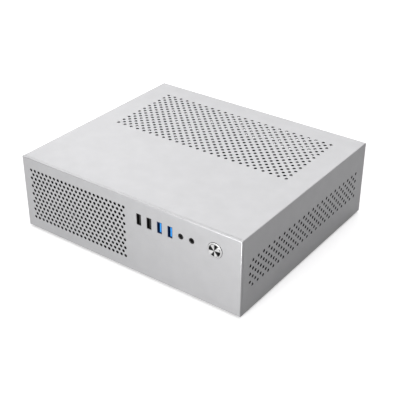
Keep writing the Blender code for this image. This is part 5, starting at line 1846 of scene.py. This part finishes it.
def make_rear_sockets():
    usb = (12.5 * MM, 5.1 * MM)
    for name in ("rear_usb_stack_1", "rear_usb_stack_2"):
        low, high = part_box(name)
        x, middle = (low.x + high.x) / 2, (low.z + high.z) / 2
        rows = [middle - 4 * MM, middle + 4 * MM]
        rear_shell(name, [(x, z, *usb, 10 * MM) for z in rows], "bright")
        for row, z in enumerate(rows, start=1):
            rear_tongue(
                f"{name}_row{row}", x, z + 0.8 * MM, 11.1 * MM, 1.9 * MM, 10 * MM, "blue"
            )

    name = "display_socket"
    low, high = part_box(name)
    x = (low.x + high.x) / 2
    rows = [low.z + 4.5 * MM, high.z - 4.5 * MM]
    rear_shell(name, [(x, z, 14.2 * MM, 4.6 * MM, 10 * MM) for z in rows], "bright")
    for row, z in enumerate(rows, start=1):
        rear_tongue(f"{name}_row{row}", x, z, 11 * MM, 1.3 * MM, 10 * MM, "black", 10)

    name = "network_socket"
    low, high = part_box(name)
    x = (low.x + high.x) / 2
    rows = [low.z + 4.5 * MM, low.z + 12.5 * MM]
    mouths = [(x, z, *usb, 10 * MM) for z in rows]
    z = high.z - 5.5 * MM
    mouths.append((x, z, 11.8 * MM, 8.0 * MM, 13 * MM))
    rear_shell(name, mouths, "bright")
    for row, at in enumerate(rows, start=1):
        rear_tongue(
            f"{name}_row{row}", x, at + 0.8 * MM, 11.1 * MM, 1.9 * MM, 10 * MM, "black"
        )
    wires = Shape()
    for step in range(8):
        at = x + (step - 3.5) * 1.1 * MM
        line = [
            Vector((at, high.y - 12.8 * MM, z + 0.5 * MM)),
            Vector((at, high.y - 9 * MM, z + 0.2 * MM)),
            Vector((at, high.y - 5 * MM, z + 3.0 * MM)),
        ]
        wires.tube(smooth_route(line), 0.22 * MM, 8)
    piece(("network_contacts", wires), "gold", "case")
    latch = Shape()
    for side in (-1, 1):
        at = x + side * 4.1 * MM
        latch.box(
            (at - 1.8 * MM, high.y - 12.5 * MM, z - 4.05 * MM),
            (at + 1.8 * MM, high.y - 0.4 * MM, z - 2.6 * MM),
            0.15 * MM
        )
    piece(("network_shoulders", latch), "black", "case")

    name = "rear_audio_stack"
    low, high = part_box(name)
    x, middle = (low.x + high.x) / 2, (low.z + high.z) / 2
    block = Shape().box(low, high, 0.3 * MM, 1).object("rear_audio_block")
    ways = Shape()
    for step in (-1, 0, 1):
        ways.rod((x, high.y - 12 * MM, middle + step * 11.5 * MM), 3.3 * MM, 20 * MM, "Y", 36)
    carve(block, ways)
    piece(block, "black", "case", [name])
    for step, look in ((-1, "pink"), (0, "green"), (1, "navy")):
        ring = Shape().lathe(
            [
                (3.0 * MM, -11 * MM),
                (3.0 * MM, -0.5 * MM),
                (2.8 * MM, -0.2 * MM),
                (2.2 * MM, -0.2 * MM),
                (1.75 * MM, -0.9 * MM),
                (1.75 * MM, -11 * MM),
                (3.0 * MM, -11 * MM),
            ],
            (x, high.y, middle + step * 11.5 * MM),
            "Y",
            36,
        )
        piece((f"rear_jack_{step + 2}", ring), look, "case")


# ------------------------------------------------------------------ power supply unit


def make_psu():
    low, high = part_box("psu_housing")
    wall = 0.8 * MM
    housing = Shape().box(low, high, 0.5 * MM).object("psu_shell")
    inside = Shape().box(
        (low.x + wall, low.y + wall, low.z + wall), (high.x - wall, high.y + 9 * MM, high.z - wall)
    )
    ways = Shape()
    for row in range(4):
        for step in range(7):
            y = low.y + 58 * MM + step * 8 * MM
            z = low.z + 16 * MM + row * 14 * MM
            slot_shape = rounded_slot(10 * MM, 2.4 * MM)
            ways.prism(slot_shape, -3 * MM, 3 * MM, "X", (low.x, y, z))
    for step in range(8):
        x = low.x + 6.2 * MM + step * 4 * MM
        ways.prism(rounded_slot(14 * MM, 2.0 * MM), -3 * MM, 3 * MM, "-Y", (x, low.y, low.z + 15 * MM))
    carve(housing, inside, ways)
    piece(housing, "steel", "case", ["psu_housing"])

    lid = Shape()
    lid.box(
        (low.x + 0.6 * MM, low.y + 0.6 * MM, high.z),
        (high.x - 0.6 * MM, high.y - 4 * MM, high.z + 0.5 * MM),
        0.2 * MM
    )
    heads = Shape()
    for x in (low.x + 5 * MM, high.x - 5 * MM):
        for y in (low.y + 6 * MM, high.y - 10 * MM):
            heads.lathe(
                [
                    (0.0, 0.4 * MM),
                    (2.6 * MM, 0.4 * MM),
                    (2.6 * MM, 0.7 * MM),
                    (1.9 * MM, 1.5 * MM),
                    (0.0, 1.7 * MM)
                ],
                (x, y, high.z),
                "Z",
                28,
            )
    heads = heads.object("psu_lid_screws")
    for x in (low.x + 5 * MM, high.x - 5 * MM):
        for y in (low.y + 6 * MM, high.y - 10 * MM):
            cross(heads, (x, y, high.z + 2.1 * MM), "-Z", 1.3 * MM, 1.1 * MM)
    piece(("psu_lid", lid), "steel", "case")
    piece(heads, "bright", "case")

    collars = Shape()
    for (x, z), radius in (((PSU_X, PSU_EXIT_MAIN), 5.2 * MM), ((PSU_X - 6 * MM, PSU_EXIT_CPU), 3.4 * MM)):
        rim = [
            (radius + 0.3 * MM, -0.6 * MM),
            (radius + 1.7 * MM, -0.6 * MM),
            (radius + 2.0 * MM, -0.3 * MM),
            (radius + 2.0 * MM, 0.9 * MM),
            (radius + 1.4 * MM, 1.5 * MM),
            (radius + 0.7 * MM, 1.4 * MM),
            (radius + 0.3 * MM, 0.9 * MM),
            (radius + 0.3 * MM, -0.6 * MM),
        ]
        collars.lathe(rim, (x, low.y, z), "-Y", 40)
    piece(("psu_collars", collars), "black", "case")

    plate_low, plate_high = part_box("psu_rear_plate")
    plate = Shape().box(plate_low, plate_high, 0.12 * MM, 1).object("psu_end_plate")
    fan_low, fan_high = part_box("psu_fan_frame")
    fan_middle = (fan_low + fan_high) / 2
    inlet_low, inlet_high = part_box("psu_inlet")
    rocker_low, rocker_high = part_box("psu_rocker")
    ways = Shape()
    ways.box(
        (inlet_low.x - GAP, plate_low.y - 5 * MM, inlet_low.z - GAP),
        (inlet_high.x + GAP, plate_high.y + 5 * MM, inlet_high.z + GAP)
    )
    ways.box(
        (PSU_X - 9.5 * MM, plate_low.y - 5 * MM, rocker_low.z - GAP),
        (PSU_X + 9.5 * MM, plate_high.y + 5 * MM, rocker_high.z + GAP)
    )
    ways.rod((fan_middle.x, plate_low.y - 5 * MM, fan_middle.z), 17 * MM, 10 * MM, "Y", 64)
    carve(plate, ways)
    piece(plate, "steel", "case", ["psu_rear_plate"])

    guard = Shape()
    y = plate_high.y + 0.55 * MM
    for radius in (4.5, 8.5, 12.5, 16.5):
        ring = []
        for step in range(12):
            angle = 2 * math.pi * step / 12
            ring.append((radius * MM + 0.5 * MM * math.cos(angle), 0.5 * MM * math.sin(angle)))
        guard.lathe(ring + ring[:1], (fan_middle.x, y, fan_middle.z), "Y", 56)
    for step in range(4):
        angle = math.pi / 4 + step * math.pi / 2
        away = Vector((math.cos(angle), 0.0, math.sin(angle)))
        start = Vector((fan_middle.x, y - 0.1 * MM, fan_middle.z)) + away * 4 * MM
        guard.tube([start, start + away * 6 * MM, start + away * 17.5 * MM], 0.5 * MM, 10)
    piece(("psu_guard", guard), "bright", "case")
    heads = Shape()
    for x in (-1, 1):
        for z in (-1, 1):
            spot = (fan_middle.x + x * 15.9 * MM, plate_high.y - 0.1 * MM, fan_middle.z + z * 15.9 * MM)
            heads.lathe(
                [(0.0, 0.0), (2.4 * MM, 0.0), (2.3 * MM, 0.3 * MM), (1.4 * MM, 0.9 * MM), (0.0, 1.0 * MM)],
                spot,
                "Y",
                24
            )
    piece(("psu_guard_screws", heads), "bright", "case")


def rounded_slot(length, width, steps=8):
    """The outline of a slot with round ends, long in x."""
    radius, reach = width / 2, (length - width) / 2
    points = []
    for side in (1, -1):
        for step in range(steps + 1):
            angle = -math.pi / 2 + math.pi * step / steps + (0 if side > 0 else math.pi)
            points.append((side * reach + radius * math.cos(angle), radius * math.sin(angle)))
    return points


def make_inlet():
    low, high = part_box("psu_inlet")
    middle = (low + high) / 2
    body = Shape().box(low, high, 0.5 * MM).object("inlet_body")
    wall, corner = 1.8 * MM, 4.5 * MM
    right, top = (high.x - low.x) / 2 - wall, (high.z - low.z) / 2 - wall
    outline = [(-right, -top), (right, -top), (right, top - corner), (right - corner, top)]
    outline += [(-right + corner, top), (-right, top - corner)]
    # Seen along Y, the outline's second value is measured downwards.
    ways = Shape().prism(
        [(x, -z) for x, z in outline], 0.0, 20 * MM, "Y", (middle.x, high.y - 15 * MM, middle.z)
    )
    carve(body, ways)
    piece(body, "black", "case", ["psu_inlet"])
    pins = Shape()
    for step, rise in ((-1, 0.0), (0, 4.0 * MM), (1, 0.0)):
        x, z = middle.x + step * 7 * MM, middle.z + rise
        pins.box((x - MM, high.y - 15.5 * MM, z - 2 * MM), (x + MM, high.y - 3 * MM, z + 2 * MM), 0.35 * MM)
    piece(("inlet_pins", pins), "bright", "case")


def make_rocker():
    """The mains switch: two hollowed faces that meet in a ridge, with grip lines at each end."""
    low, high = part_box("psu_rocker")
    tilt, half, depth = math.radians(10.0), 8.3 * MM, 6.0 * MM
    fall = half * math.tan(tilt)
    front = []
    for step in range(-8, 9):
        share = step / 8
        x = share * (half - 0.3 * MM)
        hollow = 0.25 * MM * math.sin(math.pi * abs(share))
        front.append((x, depth / 2 - fall * abs(share) - hollow))
    outline = [(-half, depth / 2 - fall - 0.3 * MM), *front, (half, depth / 2 - fall - 0.3 * MM)]
    outline += [(half, -depth / 2), (-half, -depth / 2)]
    place = Vector((PSU_X, PSU_REAR - depth / 2 + 1.2 * MM, (low.z + high.z) / 2))
    turn = Matrix.Translation(place) @ Matrix.Rotation(tilt, 4, "Z")
    height = (high.z - low.z) / 2
    rocker = Shape().prism(list(reversed(outline)), -height, height)
    for side in (-1, 1):
        for step in range(3):
            x = side * (5.2 + 0.9 * step) * MM
            y = depth / 2 - fall * abs(x) / half - 0.28 * MM
            rocker.box(
                (x - 0.2 * MM, y - 0.3 * MM, -height + 2 * MM),
                (x + 0.2 * MM, y + 0.2 * MM, height - 2 * MM),
                0.08 * MM,
                1
            )
    rocker.points = [turn @ point for point in rocker.points]
    piece(("switch_rocker", rocker), "black", "mains_rocker", ["psu_rocker"])


PSU_X = 127.95 * MM
PSU_REAR = 125.85 * MM
PSU_EXIT_MAIN = 3.6 * MM + 0.45 * 81.5 * MM
PSU_EXIT_CPU = 3.6 * MM + 0.78 * 81.5 * MM
REAR_IN = 126.15 * MM
REAR_OUT = 127.15 * MM


# ------------------------------------------------------------------ power sockets and cables


def make_power_socket(name, columns):
    low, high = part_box(name)
    body = Shape().box(low, high, 0.35 * MM).object(f"{name}_shell")
    ways = Shape()
    pitch = (high.x - low.x) / columns
    for column in range(columns):
        for row in (-1, 1):
            x = low.x + (column + 0.5) * pitch
            y = (low.y + high.y) / 2 + row * 2.2 * MM
            ways.box(
                (x - 1.6 * MM, y - 1.6 * MM, low.z + 3 * MM), (x + 1.6 * MM, y + 1.6 * MM, high.z + MM)
            )
    carve(body, ways)
    piece(body, "black", "case", [name])


def make_plug(name, low, high, columns):
    """A cable's plug, with a socket for each wire and the latch on its side."""
    body = Shape().box(low, high, 0.45 * MM).object(f"{name}_plug")
    ways = Shape()
    for x, y in wire_places(low, high, columns):
        ways.rod((x, y, high.z - 3 * MM), WIRE_RADIUS + 0.35 * MM, 6 * MM, "Z", 16)
    carve(body, ways)
    latch = Shape()
    middle = (low.x + high.x) / 2
    latch.box(
        (middle - 3 * MM, high.y, low.z + 2 * MM),
        (middle + 3 * MM, high.y + 1.3 * MM, high.z - MM),
        0.4 * MM
    )
    weld(body, latch)
    return piece(body, "black", "case")


def wire_places(low, high, columns):
    pitch = (high.x - low.x) / columns
    places = []
    for column in range(columns):
        for row in (-1, 1):
            places.append(
                (low.x + (column + 0.5) * pitch, (low.y + high.y) / 2 + row * (high.y - low.y) * 0.23)
            )
    return places


WIRE_RADIUS = 0.8 * MM


def make_cable(name, points, radius, low, high, columns, colours, keep):
    """A braided sleeve over most of the route; from its end, single wires go down into the plug."""
    route = smooth_route(points, 8)
    total = route_length(route)
    sleeve_route = cut_route(route, total - keep)
    sleeve = Shape().tube(sleeve_route, radius, 24)
    made = piece((f"{name}_sleeve", sleeve), "sleeve", "case", [name], 60.0, False)
    map_tube(made, sleeve_route, 24)
    end = sleeve_route[-1]
    along = (sleeve_route[-1] - sleeve_route[-2]).normalized()
    side = along.cross(Vector((0, 1, 0))).normalized()
    other = along.cross(side)
    wires = {}
    places = wire_places(low, high, columns)
    for number, (x, y) in enumerate(places):
        angle = 2 * math.pi * number / len(places)
        reach = radius * (0.62 if number % 2 else 0.3)
        start = end - along * 4 * MM + (side * math.cos(angle) + other * math.sin(angle)) * reach
        lift = 5 * MM + 2 * MM * ((number * 7) % 5) / 5
        line = [
            start, start + along * 6 * MM, Vector((x, y, high.z + lift)), Vector((x, y, high.z - 2.5 * MM))
        ]
        look = colours[number % len(colours)]
        wires.setdefault(look, Shape()).tube(smooth_route(line, 6), WIRE_RADIUS, 10)
    parts = [make_plug(name, low, high, columns)]
    for look, shape in wires.items():
        parts.append(piece((f"{name}_{look}_wires", shape), look, "case", (), 60.0, False))
    band = Shape()
    for share in (0.02, 0.985):
        index = int(share * (len(sleeve_route) - 1))
        index = max(1, min(index, len(sleeve_route) - 2))
        way = (sleeve_route[index + 1] - sleeve_route[index - 1]).normalized()
        turn = way.to_track_quat("Z", "Y").to_matrix().to_4x4()
        profile = [
            (radius + 0.02 * MM, -2.5 * MM),
            (radius + 0.35 * MM, -2.3 * MM),
            (radius + 0.35 * MM, 2.3 * MM),
            (radius + 0.02 * MM, 2.5 * MM),
            (radius - 0.3 * MM, 2.5 * MM),
            (radius - 0.3 * MM, -2.5 * MM),
            (radius + 0.02 * MM, -2.5 * MM),
        ]
        ring = Shape().lathe(profile, (0, 0, 0), "Z", 32)
        band.add(ring.points, ring.faces, Matrix.Translation(sleeve_route[index]) @ turn)
    parts.append(piece((f"{name}_bands", band), "black", "case"))


def route_length(route):
    return sum((two - one).length for one, two in zip(route, route[1:]))


def cut_route(route, length):
    """The first part of a route, of that length."""
    kept, left = [route[0]], length
    for one, two in zip(route, route[1:]):
        step = (two - one).length
        if step >= left:
            kept.append(one + (two - one) * (left / step))
            break
        kept.append(two)
        left -= step
    return kept


def map_tube(made, route, sides):
    """Gives a tube a map: once round it is 0 to 1, and along it is in metres."""
    lengths, total = [0.0], 0.0
    for one, two in zip(route, route[1:]):
        total += (two - one).length
        lengths.append(total)
    layer = made.data.uv_layers.new(name="around_and_along")
    for face in made.data.polygons:
        rings = [made.data.loops[loop].vertex_index // sides for loop in face.loop_indices]
        steps = [made.data.loops[loop].vertex_index % sides for loop in face.loop_indices]
        seam = len(face.loop_indices) == 4 and max(steps) - min(steps) > 1
        for loop, ring, step in zip(face.loop_indices, rings, steps):
            around = 1.0 if seam and step == 0 else step / sides
            layer.data[loop].uv = (around, lengths[min(ring, len(lengths) - 1)])


def smooth_route(points, steps=4):
    """Points along a smooth curve through the given ones."""
    ends = [2 * points[0] - points[1], *points, 2 * points[-1] - points[-2]]
    route = []
    for before, start, end, after in zip(ends, ends[1:], ends[2:], ends[3:]):
        for step in range(steps):
            t = step / steps
            bend = (2 * before - 5 * start + 4 * end - after) * t**2
            bend += (3 * start - before - 3 * end + after) * t**3
            route.append(0.5 * (2 * start + (end - before) * t + bend))
    return route + [points[-1]]


def make_cables():
    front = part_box("psu_housing")[0].y
    low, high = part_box("main_power_socket")
    plug_low = Vector((low.x, low.y, high.z + GAP))
    plug_high = Vector((high.x, high.y, high.z + GAP + 14 * MM))
    sx, sy = (low.x + high.x) / 2, (low.y + high.y) / 2
    start = Vector((PSU_X, front - 3 * GAP, PSU_EXIT_MAIN))
    peak = plug_high.z + 18 * MM
    route = [
        start,
        start + Vector((0, -12 * MM, 0)),
        start + Vector((-6 * MM, -26 * MM, (peak - PSU_EXIT_MAIN) * 0.4)),
        Vector(((PSU_X + sx) / 2, (start.y + sy) / 2 - 12 * MM, peak - 4 * MM)),
        Vector((sx + 12 * MM, sy + 2 * MM, peak)),
        Vector((sx + 2 * MM, sy, peak - 10 * MM)),
        Vector((sx, sy, plug_high.z - 2 * MM)),
    ]
    colours = ["black", "yellow", "red", "black", "rubber", "yellow"]
    make_cable("main_power_cable", route, 5.2 * MM, plug_low, plug_high, 12, colours, 26 * MM)

    low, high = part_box("cpu_power_socket")
    plug_low = Vector((low.x, low.y, high.z + GAP))
    plug_high = Vector((high.x, high.y, high.z + GAP + 14 * MM))
    sx, sy = (low.x + high.x) / 2, (low.y + high.y) / 2
    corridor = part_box("psu_housing")[0].x - 10 * MM
    start = Vector((PSU_X - 6 * MM, front - 3 * GAP, PSU_EXIT_CPU))
    route = [
        start,
        start + Vector((0, -10 * MM, 0)),
        start + Vector((-10 * MM, -20 * MM, 0)),
        Vector((corridor + 4 * MM, front - 12 * MM, start.z)),
        Vector((corridor, front + 10 * MM, start.z)),
        Vector((corridor, (front + sy) / 2, start.z - 2 * MM)),
        Vector((corridor - 2 * MM, sy - 16 * MM, start.z - 6 * MM)),
        Vector((sx, sy - 2 * MM, plug_high.z + 8 * MM)),
        Vector((sx, sy, plug_high.z - 2 * MM)),
    ]
    make_cable("cpu_power_cable", route, 3.4 * MM, plug_low, plug_high, 4, ["yellow", "black"], 20 * MM)

    low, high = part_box("front_io_cable")
    board_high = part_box("front_io_board")[1]
    port = (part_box("usb_port_2")[0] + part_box("usb_port_2")[1]) / 2
    sy = high.y - 3.25 * MM
    sx = (low.x + high.x) / 2
    plug_low = Vector((sx - 9 * MM, sy - 3.25 * MM, low.z))
    plug_high = Vector((sx + 9 * MM, sy + 3.25 * MM, low.z + 14 * MM))
    start = Vector((port.x, board_high.y + GAP, port.z - 3 * MM))
    route = [
        start,
        start + Vector((0, 7 * MM, 0)),
        start + Vector((-1 * MM, 14 * MM, -6 * MM)),
        Vector((sx + 1 * MM, sy - 4 * MM, low.z + 34 * MM)),
        Vector((sx, sy, low.z + 22 * MM)),
        Vector((sx, sy, low.z + 12 * MM)),
    ]
    make_cable("front_io_cable", route, 2.6 * MM, plug_low, plug_high, 4, ["black", "rubber"], 14 * MM)


# ------------------------------------------------------------------ what keeps its CAD shape


def repaint(node, look):
    """Gives a CAD node that is still shown its material."""
    mesh = NODES[node].data
    mesh.materials.clear()
    mesh.materials.append(LOOKS[look])


# ------------------------------------------------------------------ the scene

make_camera()
make_looks()
make_studio()
make_front_panel()
make_cover()
for port in USB_PORTS:
    make_usb_port(port)
for jack in JACKS:
    make_jack(jack)
make_power_button()
make_front_board()
for foot in FEET:
    make_foot(foot)
for screw in COVER_SCREWS:
    make_thumbscrew(screw)
make_tray()
make_shield()
for number in range(1, 5):
    make_slot_cover(number)
make_rear_sockets()
make_motherboard()
make_board_parts()
make_cpu_socket()
make_cooler()
for number in (1, 2):
    make_memory(number)
make_card_slot()
make_small_parts()
make_power_socket("main_power_socket", 12)
make_power_socket("cpu_power_socket", 4)
make_fan("front_fan_left", "front_fan_left", 9)
make_fan("front_fan_right", "front_fan_right", 9)
make_fan("cpu_fan", "cpu_fan", 7)
make_fan("psu_fan", "psu_fan", 7)
make_psu()
make_inlet()
make_rocker()
make_cables()
repaint("front_io_board", "board")
repaint("psu_board", "board")
